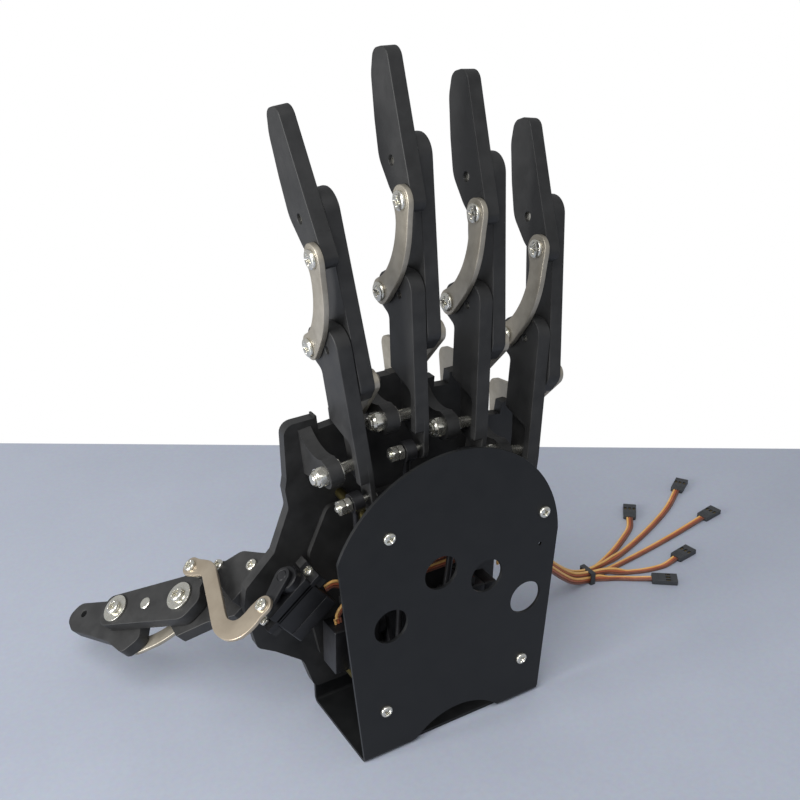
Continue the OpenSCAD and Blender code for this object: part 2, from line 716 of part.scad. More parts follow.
module thumb_base() color(black_plastic) difference() {
    root_y = back_y - thumb_origin.y;
    union() {
        on_thumb() {
            // top deck
            layer(thumb_low_bottom, 0)
                polygon(rounded([[-3.7, root_y, 1], [-9, 14, 5], [-22.5, 31, 5], [-29.8, 32.5, 4],
                                 [-31.5, root_y, 1]]));
            // lug under the first plate
            layer(thumb_low_bottom, thumb_low_top)
                polygon(rounded([[-26, root_y, 0], [-36, root_y, 1], [-47.5, 9, 6], [-61.5, 19.5, 4],
                                 [-62, 33, 8], [-52, 45.6, 6], [-34, 45.6, 6], [-25, 32, 2]]));
            // foot that lies flat on the rear of the palm plate
            translate([0, root_y + 5, 0]) rotate([90, 0, 0]) linear_extrude(5)
                polygon(rounded([[-27.5, -1, 1], [-4, -1, 1], [-4, -16, 5], [-13, -36, 5],
                                 [-27.5, -37, 5]]));
        }
    }
    on_thumb() {
        hole_z(thumb_b, pin_d / 2 + fit, thumb_low_bottom - 1, thumb_low_top + 1);
        hole_z(link_ground_t, m3 / 2 + fit, thumb_low_bottom - 1, thumb_low_top + 1);
        for (p = thumb_base_screw_xy) hole_z(p, m3 / 2 + fit, -8.5, 1);
    }
    for (p = flange_screw_xz) bar_y(p, m3 / 2 + fit, back_y - 1, back_y + 6);
}

module big_washer(p, z) {
    difference() {
        hole_z(p, 6.8, z, z + 1);
        hole_z(p, pin_d / 2 + fit, z - 1, z + 2);
    }
}

// Fixed screws of the thumb base, with the pivot of the first plate and of the tip link
module thumb_base_screws() color(bright_nickel) on_thumb() {
    for (p = thumb_base_screw_xy) screw_z(p, 0, -8);
    big_washer(thumb_b, 0.1);
    screw_z(thumb_b, 1.2, thumb_low_bottom + 0.2, pin_d / 2, 3.3, 2.4);
    screw_z(link_ground_t, thumb_low_bottom - slide - thumb_link_t - 0.1, thumb_low_top - 0.5);
}

module thumb_proximal() color(black_plastic) on_thumb() {
    difference() {
        layer(-thumb_t, 0) {
            arm2d(thumb_b, thumb_a, 12.6, 9.2);
            arm2d(thumb_b, drive_pin, 8, 5);
        }
        hole_z(thumb_b, pin_d / 2 + fit, -thumb_t - 1, 1);
        hole_z(thumb_a, pin_d / 2 + fit, -thumb_t - 1, 1);
        hole_z(thumb_b + 22 * thumb_dir, 2 + fit, -4, 1);
    }
    big_washer(thumb_a, 0.1);
    screw_z(thumb_a, 1.2, thumb_low_bottom + 0.5, pin_d / 2, 3.3, 2.4);
    hole_z(thumb_b + 22 * thumb_dir, 2, -3.8, 0.5);
}

module thumb_distal() color(black_plastic) on_thumb() {
    tip = thumb_a + [-17.4, 16.4];
    difference() {
        layer(thumb_low_bottom, thumb_low_top) polygon(rounded([
            thumb_pt(thumb_a, [9, 6], 7), thumb_pt(thumb_a, [-2, 11.5], 6),
            thumb_pt(tip, [3.2, 6.4], 5), thumb_pt(tip, [-7, 3], 5), thumb_pt(tip, [-2.2, -11], 8),
            thumb_pt(distal_tail_t, [-8, 7], 10), thumb_pt(distal_tail_t, [-6, -5.4], 4.5),
            thumb_pt(distal_tail_t, [6, -5], 5), thumb_pt(thumb_a, [9.6, -7], 8)
        ]));
        hole_z(thumb_a, pin_d / 2 + fit, thumb_low_bottom - 1, thumb_low_top + 1);
        hole_z(tip + [2.6, -2.4], 1.8, thumb_low_bottom - 1, thumb_low_top + 1);
    }
}

function thumb_pt(p, d, r) = [p.x + d.x, p.y + d.y, r];

module thumb_tip_link() color(satin_nickel) on_thumb() {
    v = distal_tail_t - link_ground_t;
    top = thumb_low_bottom - slide;
    difference() {
        layer(top - thumb_link_t, top) translate(link_ground_t) rotate(heading(v))
            bowed_strap2d(norm(v), 6, link_w - 2);
        for (p = [link_ground_t, distal_tail_t]) hole_z(p, m3 / 2 + fit, top - 4, top + 1);
    }
    screw_z(distal_tail_t, top - thumb_link_t - 0.1, top);
}

// Hook-shaped link that reaches round the palm's edge from the crank to the thumb
module thumb_drive_link() color(satin_nickel) on_thumb() {
    high = drive_z + drive_link_t;
    corner = [-28.8, 34.2];
    low = [-38.5, -16.5];
    difference() {
        layer(drive_z, high) {
            arm2d(drive_pin, corner, 4.6, 4);
            arm2d(corner, low, 4, 3.8);
            arm2d(low, [-32, -22], 3.8, 3.6);
            arm2d([-32, -22], crank_pin, 3.6, 4.4);
        }
        for (p = [drive_pin, crank_pin]) hole_z(p, m3 / 2 + fit, drive_z - 1, high + 1);
    }
    screw_z(drive_pin, high + 0.1, drive_z);
    difference() {
        hole_z(drive_pin, 3, slide, drive_z);
        hole_z(drive_pin, m3 / 2 + fit, -1, drive_z + 1);
    }
}

module thumb_horn() color("#d8d8d4") on_thumb() {
    difference() {
        layer(thumb_horn_z, thumb_horn_z + horn_t - 0.1) arm2d(thumb_shaft, crank_pin, 4, 3.2);
        hole_z(thumb_shaft, spline_r + fit, thumb_horn_z - 1, thumb_horn_z + 3);
        hole_z(crank_pin, m3 / 2 + fit, thumb_horn_z - 1, thumb_horn_z + 3);
    }
    screw_z(crank_pin, drive_z + drive_link_t + 0.1, thumb_horn_z);
}

// ---- Servo leads ----

// Middle of the lead bundle, from the servo rack over the bracket's side to the tie
bundle = [[26, 9, 67], [46, 9, 65], [62, 10, 57], [80, 14, 40], [98, 22.5, 22], [112, 29, 10],
          [126, 33, 3.5]];
// Each lead's place across the bundle as [y, z]: index, middle, ring, little, thumb
lane = [[1.35, 1.5], [0, -1.5], [-2.7, -1.5], [-1.35, 1.5], [2.7, -1.5]];
// The bundle's first point that each lead joins
joins_at = [0, 0, 2, 0, 0];
// From each servo to the bundle
lead_starts = [
    [[-12.4, 3, 78], [-12, 3.2, 74.4], [-6.5, 5.6, 70.6], [6, 9.2, 69]],
    [[-43.8, 3, 58.7], [-43.6, 3.6, 62.6], [-38, 5.6, 65.4], [-26, 8.2, 65.5], [-6, 9, 65.5]],
    [[43.8, 3, 58.7], [44.3, 3.2, 61.6], [50, 4.2, 62.6]],
    [[13.8, 3, 80], [14.2, 3.1, 75.5], [19.5, 5.2, 70.3]],
    [[-48.7, 5.1, 77.6], [-44.5, 5.6, 78.4], [-38, 7.5, 74.5], [-30, 9.5, 70], [-14, 11.7, 66],
     [4, 11.7, 65.5]]
];
// From the tie across the floor to the plugs
lead_ends = [
    [[140, 36.8, 3.4], [162, 43.5, 1.5], [188, 53, 1.5], [214, 65, 1.5], [233, 77, 1.5]],
    [[142, 34, 1.5], [166, 36.5, 1.5], [194, 40.5, 1.5], [224, 45.5, 1.5]],
    [[138, 26.5, 1.5], [148, 20, 1.5], [156, 14, 1.5]],
    [[138, 30.6, 3.4], [150, 26, 1.5], [160, 22.3, 1.5], [171, 20.5, 1.5], [181, 22, 1.5]],
    [[140, 40, 1.5], [156, 46.5, 1.5], [171, 54.5, 1.5], [181, 61, 1.5], [187, 68, 1.5]]
];
function lead_route(i) = concat(lead_starts[i],
    [for (k = [joins_at[i] : len(bundle) - 1]) bundle[k] + [0, lane[i].x, lane[i].y]],
    lead_ends[i]);
LEADS = [0 : len(lane) - 1];
// Three-pin plug at the end of each lead
plug_l = 14;
plug_w = 7.8;
plug_h = 2.7;

function unit3(v) = v / norm(v);
function tangent(p, i) = unit3(p[min(i + 1, len(p) - 1)] - p[max(i - 1, 0)]);
// Side directions carried along the route without twist
function side_at(t, s) = unit3(s - (s * t) * t);
function sides(p) = [for (i = 0, s = side_at(tangent(p, 0), [0, 1, 0]); i < len(p);
                          i = i + 1, s = i < len(p) ? side_at(tangent(p, i), s) : s) s];

module cord(p, d, n = 8) {
    s = sides(p);
    pts = [for (i = [0 : len(p) - 1]) let (t = tangent(p, i), u = s[i], v = cross(t, u))
           for (k = [0 : n - 1]) p[i] + d / 2 * (cos(360 * k / n) * u + sin(360 * k / n) * v)];
    last = (len(p) - 1) * n;
    polyhedron(pts, concat(
        [[for (k = [n - 1 : -1 : 0]) k]], [[for (k = [0 : n - 1]) last + k]],
        [for (i = [0 : len(p) - 2], k = [0 : n - 1]) [i * n + k, i * n + (k + 1) % n, (i + 1) * n + (k + 1) % n]],
        [for (i = [0 : len(p) - 2], k = [0 : n - 1]) [i * n + k, (i + 1) * n + (k + 1) % n, (i + 1) * n + k]]));
}

module lead(i) color("#c06a28") cord(lead_route(i), lead_d);

module lead_plugs() color(black_plastic) for (i = LEADS) {
    r = lead_route(i);
    end = r[len(r) - 1];
    dir = end - r[len(r) - 2];
    translate(end) rotate([0, 0, heading([dir.x, dir.y])])
        translate([0, -plug_w / 2, -plug_h / 2]) cube([plug_l, plug_w, plug_h]);
}

module lead_tie() color(black_plastic) {
    at = bundle[len(bundle) - 1];
    strap_w = 3;
    half = [4.4, 3.2];
    wall = 0.7;
    translate([at.x - strap_w / 2, at.y, at.z]) rotate([90, 0, 90]) linear_extrude(strap_w)
        difference() {
            square(2 * (half + [wall, wall]), center = true);
            square(2 * half, center = true);
        }
}

palm_bracket();
palm_plate();
standoffs();
cover_screws();
rear_screws();
flange_screws();
axle_bolts();
axle_nuts();
axle_washers();
link_pins();
servo_mount();
servo_screws();
finger_servo(INDEX);  // index_servo
finger_servo(MIDDLE);  // middle_servo
finger_servo(RING);  // ring_servo
finger_servo(LITTLE);  // little_servo
thumb_servo();
proximal(INDEX);  // index_proximal
middle(INDEX);  // index_middle
distal(INDEX);  // index_distal
knuckle_link(INDEX);  // index_knuckle_link
tip_link(INDEX);  // index_tip_link
horn(INDEX);  // index_horn
rod(INDEX);  // index_rod
proximal(MIDDLE);  // middle_proximal
middle(MIDDLE);  // middle_middle
distal(MIDDLE);  // middle_distal
knuckle_link(MIDDLE);  // middle_knuckle_link
tip_link(MIDDLE);  // middle_tip_link
horn(MIDDLE);  // middle_horn
rod(MIDDLE);  // middle_rod
proximal(RING);  // ring_proximal
middle(RING);  // ring_middle
distal(RING);  // ring_distal
knuckle_link(RING);  // ring_knuckle_link
tip_link(RING);  // ring_tip_link
horn(RING);  // ring_horn
rod(RING);  // ring_rod
proximal(LITTLE);  // little_proximal
middle(LITTLE);  // little_middle
distal(LITTLE);  // little_distal
knuckle_link(LITTLE);  // little_knuckle_link
tip_link(LITTLE);  // little_tip_link
horn(LITTLE);  // little_horn
rod(LITTLE);  // little_rod
thumb_base();
thumb_base_screws();
thumb_proximal();
thumb_distal();
thumb_tip_link();
thumb_drive_link();
thumb_horn();
lead(0);  // index_lead
lead(1);  // middle_lead
lead(2);  // ring_lead
lead(3);  // little_lead
lead(4);  // thumb_lead
lead_plugs();
lead_tie();
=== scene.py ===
"""Five-finger robot hand: look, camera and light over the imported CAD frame.

All lengths in this file are millimetres in the CAD's own frame. Meshes are scaled to metres once,
when a piece is made. The camera and the servo leads come first, then the finishes and the pieces.
"""

import logging
import math
from dataclasses import dataclass, field
from enum import Enum
from typing import Any, Iterable, Sequence

import bmesh
import bpy
from mathutils import Matrix, Vector


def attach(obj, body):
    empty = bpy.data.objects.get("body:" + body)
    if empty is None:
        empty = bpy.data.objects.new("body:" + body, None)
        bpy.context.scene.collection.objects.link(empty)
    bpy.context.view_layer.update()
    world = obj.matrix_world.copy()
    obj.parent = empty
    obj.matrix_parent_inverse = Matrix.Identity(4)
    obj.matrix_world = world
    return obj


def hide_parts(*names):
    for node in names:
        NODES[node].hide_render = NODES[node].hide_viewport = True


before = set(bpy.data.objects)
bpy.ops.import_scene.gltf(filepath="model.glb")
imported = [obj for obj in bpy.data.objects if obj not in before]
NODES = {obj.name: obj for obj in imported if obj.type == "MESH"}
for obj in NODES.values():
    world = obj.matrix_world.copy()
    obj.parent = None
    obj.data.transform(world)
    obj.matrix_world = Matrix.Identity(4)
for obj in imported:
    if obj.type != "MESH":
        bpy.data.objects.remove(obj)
LOG = logging.getLogger("hand")
MM = 0.001
Point2 = tuple[float, float]
Point3 = tuple[float, float, float]
Knots = tuple[Point3, ...]
Places = Sequence[tuple[Matrix, float]]


# ---------------------------------------------------------------- sizes

class Finger(Enum):
    """The four fingers in the order of the CAD's lists."""

    INDEX = 0
    MIDDLE = 1
    RING = 2
    LITTLE = 3

    @property
    def label(self) -> str:
        """Name that starts the CAD nodes and bodies of this finger."""
        return self.name.lower()


@dataclass(frozen=True)
class FingerSizes:
    """Sizes shared by the four fingers.

    Args:
        proximal, middle, distal: joint to joint lengths, and end joint to tip.
        width, thick: width and thickness of the flat plates.
        leans: rest angles of the three plates, each from the plate below.
        ratios: turn of the middle and end plates for one degree of the first joint.
        slide: gap between the first and the second plate.
        tail_pin, tip_link_pin: pins of the first plate, from its axle.
        knuckle_pin: tail of the second plate, from the middle joint.
        distal_tail: tail of the tip plate, from the end joint.
        ground_pin: pin of the knuckle link, from the axle.
    """

    proximal: float = 52.5
    middle: float = 52.5
    distal: float = 41.9
    width: float = 18.7
    thick: float = 6.5
    slide: float = 0.3
    leans: tuple[float, float, float] = (4.0, 6.0, 6.0)
    ratios: tuple[float, float] = (1.44, 0.864)
    tail_pin: Point2 = (-6.5, -13.3)
    tip_link_pin: Point2 = (10.5, 51.5)
    knuckle_pin: Point2 = (-3.5, -16.7)
    distal_tail: Point2 = (-8.7, -14.6)
    ground_pin: Point2 = (31.5, -3.0)


@dataclass(frozen=True)
class Place:
    """Where one finger stands.

    Args:
        x, z: centre of the first joint's axle.
        fan: sideways lean in degrees.
        curl: extra rest angle of the first plate in degrees.
        servo_z: height of the servo's shaft.
        servo_side: 1 or -1, the way that the servo's shaft faces.
    """

    x: float
    z: float
    fan: float
    curl: float
    servo_z: float
    servo_side: int


SIZES = FingerSizes()
AXLE_Y = -3.0
PLACES = {
    Finger.INDEX: Place(-40, 140.3, -5, 0, 95, 1),
    Finger.MIDDLE: Place(-13.4, 157, 1.5, -1, 52, -1),
    Finger.RING: Place(16, 145.3, 5.5, 0, 52, 1),
    Finger.LITTLE: Place(44, 123.2, 9.5, 1.5, 97, -1),
}
# places along y: the cover's front, the palm plate's two faces and the back wall's outer face
COVER_Y, PALM_Y, PALM_BACK_Y, BACK_Y = -25.0, 18.5, 23.5, 25.0
# top of the back wall
BACK_TOP = 110
# (x, z) of the standoffs with their screws, and of the flange screws
STANDOFFS = ((-32.9, 115.2), (46.8, 101.9), (37.1, 24.0), (-36.2, 25.8))
FLANGE = ((-65.6, 73.9), (-59.9, 57.4))


# ---------------------------------------------------------------- matrices and outlines

def move(x: float = 0, y: float = 0, z: float = 0) -> Matrix:
    """Translation in millimetres."""
    return Matrix.Translation((x, y, z))


def turn(axis: str, degrees: float) -> Matrix:
    """Rotation about one axis, in degrees."""
    return Matrix.Rotation(math.radians(degrees), 4, axis)


ALONG_X = Matrix(((0, 0, 1, 0), (1, 0, 0, 0), (0, 1, 0, 0), (0, 0, 0, 1)))
FACE_RIGHT, FACE_LEFT = turn("Y", 90), turn("Y", -90)
FACE_FRONT, FACE_BACK = turn("X", 90), turn("X", -90)
FACE_UP, FACE_DOWN = Matrix.Identity(4), turn("X", 180)


def curl_point(p: Point2, a: float) -> Point2:
    """A (y, z) point turned towards +Y by a degrees."""
    c, s = math.cos(math.radians(a)), math.sin(math.radians(a))
    return (p[0] * c + p[1] * s, p[1] * c - p[0] * s)


def rounded(corners: Sequence[tuple[float, float, float]], steps: int = 10) -> list[Point2]:
    """Outline whose corners become arcs.

    Args:
        corners: x, y and radius of each corner.
        steps: segments of each arc.

    Returns:
        The points of the closed outline.
    """
    out: list[Point2] = []
    count = len(corners)
    for i, (x, y, r) in enumerate(corners):
        q = Vector((x, y))
        p, s = Vector(corners[i - 1][:2]), Vector(corners[(i + 1) % count][:2])
        if r <= 0:
            out.append((x, y))
            continue
        u, v = (p - q).normalized(), (s - q).normalized()
        half = math.acos(max(-1.0, min(1.0, u.dot(v)))) / 2
        if half > math.radians(89.5):
            out.append((x, y))
            continue
        limit = 0.49 * min((p - q).length, (s - q).length)
        r = min(r, limit * math.tan(half))
        reach = r / math.tan(half)
        centre = q + (u + v).normalized() * (r / math.sin(half))
        a, b = q + u * reach - centre, q + v * reach - centre
        a0, a1 = math.atan2(a.y, a.x), math.atan2(b.y, b.x)
        sweep = (a1 - a0 + 3 * math.pi) % (2 * math.pi) - math.pi
        for k in range(steps + 1):
            t = a0 + sweep * k / steps
            out.append((centre.x + r * math.cos(t), centre.y + r * math.sin(t)))
    return out


def ring(centre: Point2, radius: float, steps: int = 48) -> list[Point2]:
    """Circle as a closed outline."""
    return [(centre[0] + radius * math.cos(2 * math.pi * k / steps),
             centre[1] + radius * math.sin(2 * math.pi * k / steps)) for k in range(steps)]


def thick_line(path: Sequence[Point2], radii: Sequence[float], steps: int = 12) -> list[Point2]:
    """Closed outline round a chain of discs, as a bent strap with round ends.

    Args:
        path: centres of the discs.
        radii: half width of the strap at each centre.
        steps: segments of each round end.

    Returns:
        The points of the closed outline.
    """
    sides: tuple[list[Point2], list[Point2]] = ([], [])
    count = len(path)
    for i, (x, y) in enumerate(path):
        a = Vector(path[max(i - 1, 0)])
        b = Vector(path[min(i + 1, count - 1)])
        t = (b - a).normalized()
        n = Vector((-t.y, t.x)) * radii[i]
        sides[0].append((x + n.x, y + n.y))
        sides[1].append((x - n.x, y - n.y))
    first, last = Vector(path[0]), Vector(path[-1])
    head = (Vector(path[1]) - first).normalized()
    tail = (last - Vector(path[-2])).normalized()
    out = list(sides[1])
    for k in range(1, steps):
        ang = math.atan2(tail.y, tail.x) - math.pi / 2 + math.pi * k / steps
        out.append((last.x + radii[-1] * math.cos(ang), last.y + radii[-1] * math.sin(ang)))
    out += list(reversed(sides[0]))
    for k in range(1, steps):
        ang = math.atan2(head.y, head.x) + math.pi / 2 + math.pi * k / steps
        out.append((first.x + radii[0] * math.cos(ang), first.y + radii[0] * math.sin(ang)))
    return out


def oblong(x0: float, x1: float, y0: float, y1: float, r: float, steps: int = 10) -> list[Point2]:
    """Rectangle with rounded corners."""
    return rounded([(x0, y0, r), (x1, y0, r), (x1, y1, r), (x0, y1, r)], steps)


def spline_points(points: Sequence[Vector], per: int) -> list[Vector]:
    """Catmull-Rom curve through all the given points.

    Args:
        points: knots of the curve.
        per: points for each stretch between two knots.

    Returns:
        The points of the curve, with the last knot.
    """
    out: list[Vector] = []
    n = len(points)
    for i in range(n - 1):
        p0, p1, p2, p3 = points[max(i - 1, 0)], points[i], points[i + 1], points[min(i + 2, n - 1)]
        for k in range(per):
            t = k / per
            out.append(0.5 * ((2 * p1) + (p2 - p0) * t + (2 * p0 - 5 * p1 + 4 * p2 - p3) * t * t
                              + (3 * p1 - p0 - 3 * p2 + p3) * t ** 3))
    out.append(points[-1].copy())
    return out


# ---------------------------------------------------------------- finishes

def srgb(hexa: str) -> tuple[float, float, float, float]:
    """Linear colour of an sRGB hex value.

    Args:
        hexa: the colour as #rrggbb.

    Returns:
        Red, green, blue and alpha.
    """
    out = []
    for k in (1, 3, 5):
        v = int(hexa[k:k + 2], 16) / 255
        out.append(v / 12.92 if v <= 0.04045 else ((v + 0.055) / 1.055) ** 2.4)
    return (out[0], out[1], out[2], 1.0)


class Process(Enum):
    """How a surface was made, which decides its pattern."""

    MOULDED = "fine spark-eroded grain of a mould"
    COATED = "orange peel of a powder coat"
    BRUSHED = "fine lines along one direction"
    PLATED = "bright plating with faint handling marks"
    EXTRUDED = "smooth drawn insulation"


@dataclass(frozen=True)
class Finish:
    """One surface finish.

    Args:
        name: material name, the real material and its process.
        process: which pattern is built.
        base, alt: the two colours that blotches blend between, as sRGB hex.
        rough: lowest and highest roughness.
        grain: size of the fine pattern in millimetres.
        relief: height of the fine pattern in millimetres.
        metal: metallic share.
        specular: strength of the clear reflection.
        blotch: size of the blotches in millimetres.
        lines: how many times finer the pattern is along x, y and z.
    """

    name: str
    process: Process
    base: str
    alt: str
    rough: tuple[float, float]
    grain: float
    relief: float
    metal: float = 0.0
    specular: float = 0.5
    blotch: float = 9.0
    lines: tuple[float, float, float] = (1.0, 1.0, 1.0)


def add_node(tree: bpy.types.NodeTree, kind: str, inputs: dict[str | int, Any] | None = None,
             **settings: Any) -> bpy.types.Node:
    """Adds one node with its settings and links.

    Args:
        tree: node tree that takes the node.
        kind: Blender's name of the node type.
        inputs: a value, or the socket that feeds it, for inputs by name or number.
        settings: properties of the node, such as its operation.

    Returns:
        The new node.
    """
    node = tree.nodes.new(kind)
    for label, value in settings.items():
        setattr(node, label, value)
    for label, value in (inputs or {}).items():
        if isinstance(value, bpy.types.NodeSocket):
            tree.links.new(value, node.inputs[label])
        else:
            node.inputs[label].default_value = value
    return node


class Finishes:
    """All finishes of the hand, built once each on demand."""

    # injection-moulded ABS-like plates of the fingers and the palm
    PLATE = Finish("black_moulded_plastic", Process.MOULDED, "#252525", "#2f2f2f",
                   (0.42, 0.58), 0.16, 0.006, specular=0.38)
    # sheet steel bracket, bent and powder coated in satin black
    SHEET = Finish("black_powder_coated_steel", Process.COATED, "#151617", "#1b1c1d",
                   (0.40, 0.52), 0.45, 0.010, specular=0.32)
    # turned and milled black rod ends
    ROD = Finish("black_oxide_steel", Process.BRUSHED, "#1d1d1f", "#29292b",
                 (0.38, 0.52), 0.25, 0.004, metal=0.4)
    # servo cases, smoother plastic than the plates
    CASE = Finish("black_servo_case_nylon", Process.MOULDED, "#161618", "#1e1e20",
                  (0.36, 0.52), 0.22, 0.005, specular=0.4)
    # zinc and nickel plated screws, nuts and washers
    SCREW = Finish("bright_nickel_plated_steel", Process.PLATED, "#efede4", "#cfccbf",
                   (0.17, 0.30), 0.8, 0.001, metal=0.92)
    # stamped straps of the fingers, satin nickel
    STRAP = Finish("satin_nickel_plated_strap", Process.BRUSHED, "#b8b1a3", "#a39c8e",
                   (0.34, 0.48), 0.12, 0.004, metal=0.72, lines=(1.0, 1.0, 9.0))
    # stamped drive link of the thumb, warmer and a little more matt
    DRIVE = Finish("champagne_nickel_strap", Process.BRUSHED, "#c6b9a5", "#bcae9a",
                   (0.30, 0.44), 0.12, 0.004, metal=0.85, lines=(8.0, 1.0, 1.0))
    # turned brass standoffs, dulled to olive
    BRASS = Finish("aged_brass_turned", Process.BRUSHED, "#8b8154", "#6c6440",
                   (0.28, 0.44), 0.15, 0.004, metal=1.0, lines=(1.0, 9.0, 1.0))
    # insulation of the three wires of a servo lead
    WIRE_BROWN = Finish("brown_pvc_insulation", Process.EXTRUDED, "#6b4032", "#7d5040",
                        (0.38, 0.5), 0.6, 0.004)
    WIRE_RED = Finish("red_pvc_insulation", Process.EXTRUDED, "#a9583a", "#b96a48",
                      (0.36, 0.48), 0.6, 0.004)
    WIRE_ORANGE = Finish("orange_pvc_insulation", Process.EXTRUDED, "#e8b262", "#efc07a",
                         (0.36, 0.48), 0.6, 0.004)
    # nylon plug housings and the cable tie
    NYLON = Finish("black_nylon_plug", Process.MOULDED, "#303234", "#3a3c3f",
                   (0.4, 0.55), 0.2, 0.005)
    # gold-flashed contacts in the plugs
    CONTACT = Finish("gold_flashed_contact", Process.PLATED, "#8d7a4e", "#766642",
                     (0.2, 0.34), 0.4, 0.002, metal=1.0)
    # table top, painted and slightly glossy
    TABLE = Finish("pale_table_laminate", Process.MOULDED, "#b2b8c6", "#abb1bf",
                   (0.42, 0.52), 2.5, 0.004, blotch=220.0, specular=0.35)

    def __init__(self) -> None:
        """Starts with no material made."""
        self._made: dict[str, bpy.types.Material] = {}

    def get(self, finish: Finish) -> bpy.types.Material:
        """Material of a finish.

        Args:
            finish: the finish that is asked for.

        Returns:
            The Blender material, made on first use.
        """
        if finish.name not in self._made:
            self._made[finish.name] = self._build(finish)
        return self._made[finish.name]

    @staticmethod
    def _build(f: Finish) -> bpy.types.Material:
        """Nodes of one finish.

        Args:
            f: the finish.

        Returns:
            The new material.
        """
        mat = bpy.data.materials.new(f.name)
        mat.use_nodes = True
        tree = mat.node_tree
        tree.nodes.clear()
        coords = add_node(tree, "ShaderNodeTexCoord").outputs["Object"]
        lined = add_node(tree, "ShaderNodeMapping", {
            "Vector": coords, "Scale": tuple(v / MM for v in f.lines)})
        plain = add_node(tree, "ShaderNodeMapping", {
            "Vector": coords, "Scale": (1 / MM, 1 / MM, 1 / MM)}).outputs["Vector"]
        fine = add_node(tree, "ShaderNodeTexNoise", {
            "Vector": lined.outputs["Vector"], "Scale": 1 / f.grain, "Detail": 3.0})
        if f.process is Process.PLATED:
            # handling marks, about a millimetre across
            blotch = add_node(tree, "ShaderNodeTexNoise", {
                "Vector": plain, "Scale": 0.9, "Detail": 6.0, "Distortion": 1.5})
        else:
            blotch = add_node(tree, "ShaderNodeTexNoise", {
                "Vector": plain, "Scale": 1 / f.blotch, "Detail": 4.0, "Roughness": 0.6})
        height = fine.outputs["Fac"]
        if f.process is Process.COATED:
            peel = add_node(tree, "ShaderNodeTexVoronoi", {
                "Vector": plain, "Scale": 1 / f.grain}, feature="SMOOTH_F1")
            height = add_node(tree, "ShaderNodeMath", {
                0: peel.outputs["Distance"], 1: 0.6, 2: height},
                operation="MULTIPLY_ADD").outputs[0]
        share = add_node(tree, "ShaderNodeMapRange", {
            "Value": blotch.outputs["Fac"], "From Min": 0.35, "From Max": 0.65})
        tone = add_node(tree, "ShaderNodeMix", {
            "Factor": share.outputs["Result"], "A": srgb(f.base), "B": srgb(f.alt)},
            data_type="RGBA")
        speck = add_node(tree, "ShaderNodeMix", {
            "Factor": 0.16, "A": tone.outputs["Result"], "B": fine.outputs["Color"]},
            data_type="RGBA", blend_type="MULTIPLY")
        source = fine if f.process is Process.BRUSHED else blotch
        rough = add_node(tree, "ShaderNodeMapRange", {
            "Value": source.outputs["Fac"], "From Min": 0.3, "From Max": 0.7,
            "To Min": f.rough[0], "To Max": f.rough[1]})
        bump = add_node(tree, "ShaderNodeBump", {
            "Height": height, "Strength": 0.6, "Distance": f.relief * MM})
        shader = add_node(tree, "ShaderNodeBsdfPrincipled", {
            "Base Color": speck.outputs["Result"], "Roughness": rough.outputs["Result"],
            "Metallic": f.metal, "Specular IOR Level": f.specular,
            "Normal": bump.outputs["Normal"]})
        add_node(tree, "ShaderNodeOutputMaterial", {"Surface": shader.outputs["BSDF"]})
        return mat


# ---------------------------------------------------------------- mesh making

Meshes = list[tuple[bpy.types.Mesh, int]]


def link_object(name: str, data: bpy.types.ID) -> bpy.types.Object:
    """Puts an object into the scene at the origin.

    Args:
        name: name of the object.
        data: its mesh, curve, camera or lamp.

    Returns:
        The new object.
    """
    obj = bpy.data.objects.new(name, data)
    bpy.context.scene.collection.objects.link(obj)
    return obj


def clean(mesh: bpy.types.Mesh, angle: float = 34.0) -> bpy.types.Mesh:
    """Merges doubles, faces the normals out and smooths all but the sharp edges.

    Args:
        mesh: closed mesh in millimetres, which is changed.
        angle: edges over this many degrees stay sharp.

    Returns:
        The same mesh.
    """
    bm = bmesh.new()
    bm.from_mesh(mesh)
    bmesh.ops.remove_doubles(bm, verts=bm.verts, dist=0.0008)
    bmesh.ops.recalc_face_normals(bm, faces=bm.faces)
    bm.to_mesh(mesh)
    bm.free()
    mesh.polygons.foreach_set("use_smooth", [True] * len(mesh.polygons))
    mesh.set_sharp_from_angle(angle=math.radians(angle))
    return mesh


def circle(r: float, z: float, sides: int) -> list[Point3]:
    """Circle of points at height z."""
    return [(r * math.cos(2 * math.pi * k / sides), r * math.sin(2 * math.pi * k / sides), z)
            for k in range(sides)]


def solid(verts: Sequence[Point3], faces: Sequence[tuple[int, ...]], angle: float,
          where: Matrix = FACE_UP) -> bpy.types.Mesh:
    """Closed mesh from points and faces.

    Args:
        verts, faces: the points, and the point numbers of each face.
        angle: edges over this many degrees stay sharp.
        where: matrix that puts the solid in its place.

    Returns:
        The cleaned mesh.
    """
    mesh = bpy.data.meshes.new("solid")
    mesh.from_pydata(verts, [], faces)
    clean(mesh, angle)
    mesh.transform(where)
    return mesh


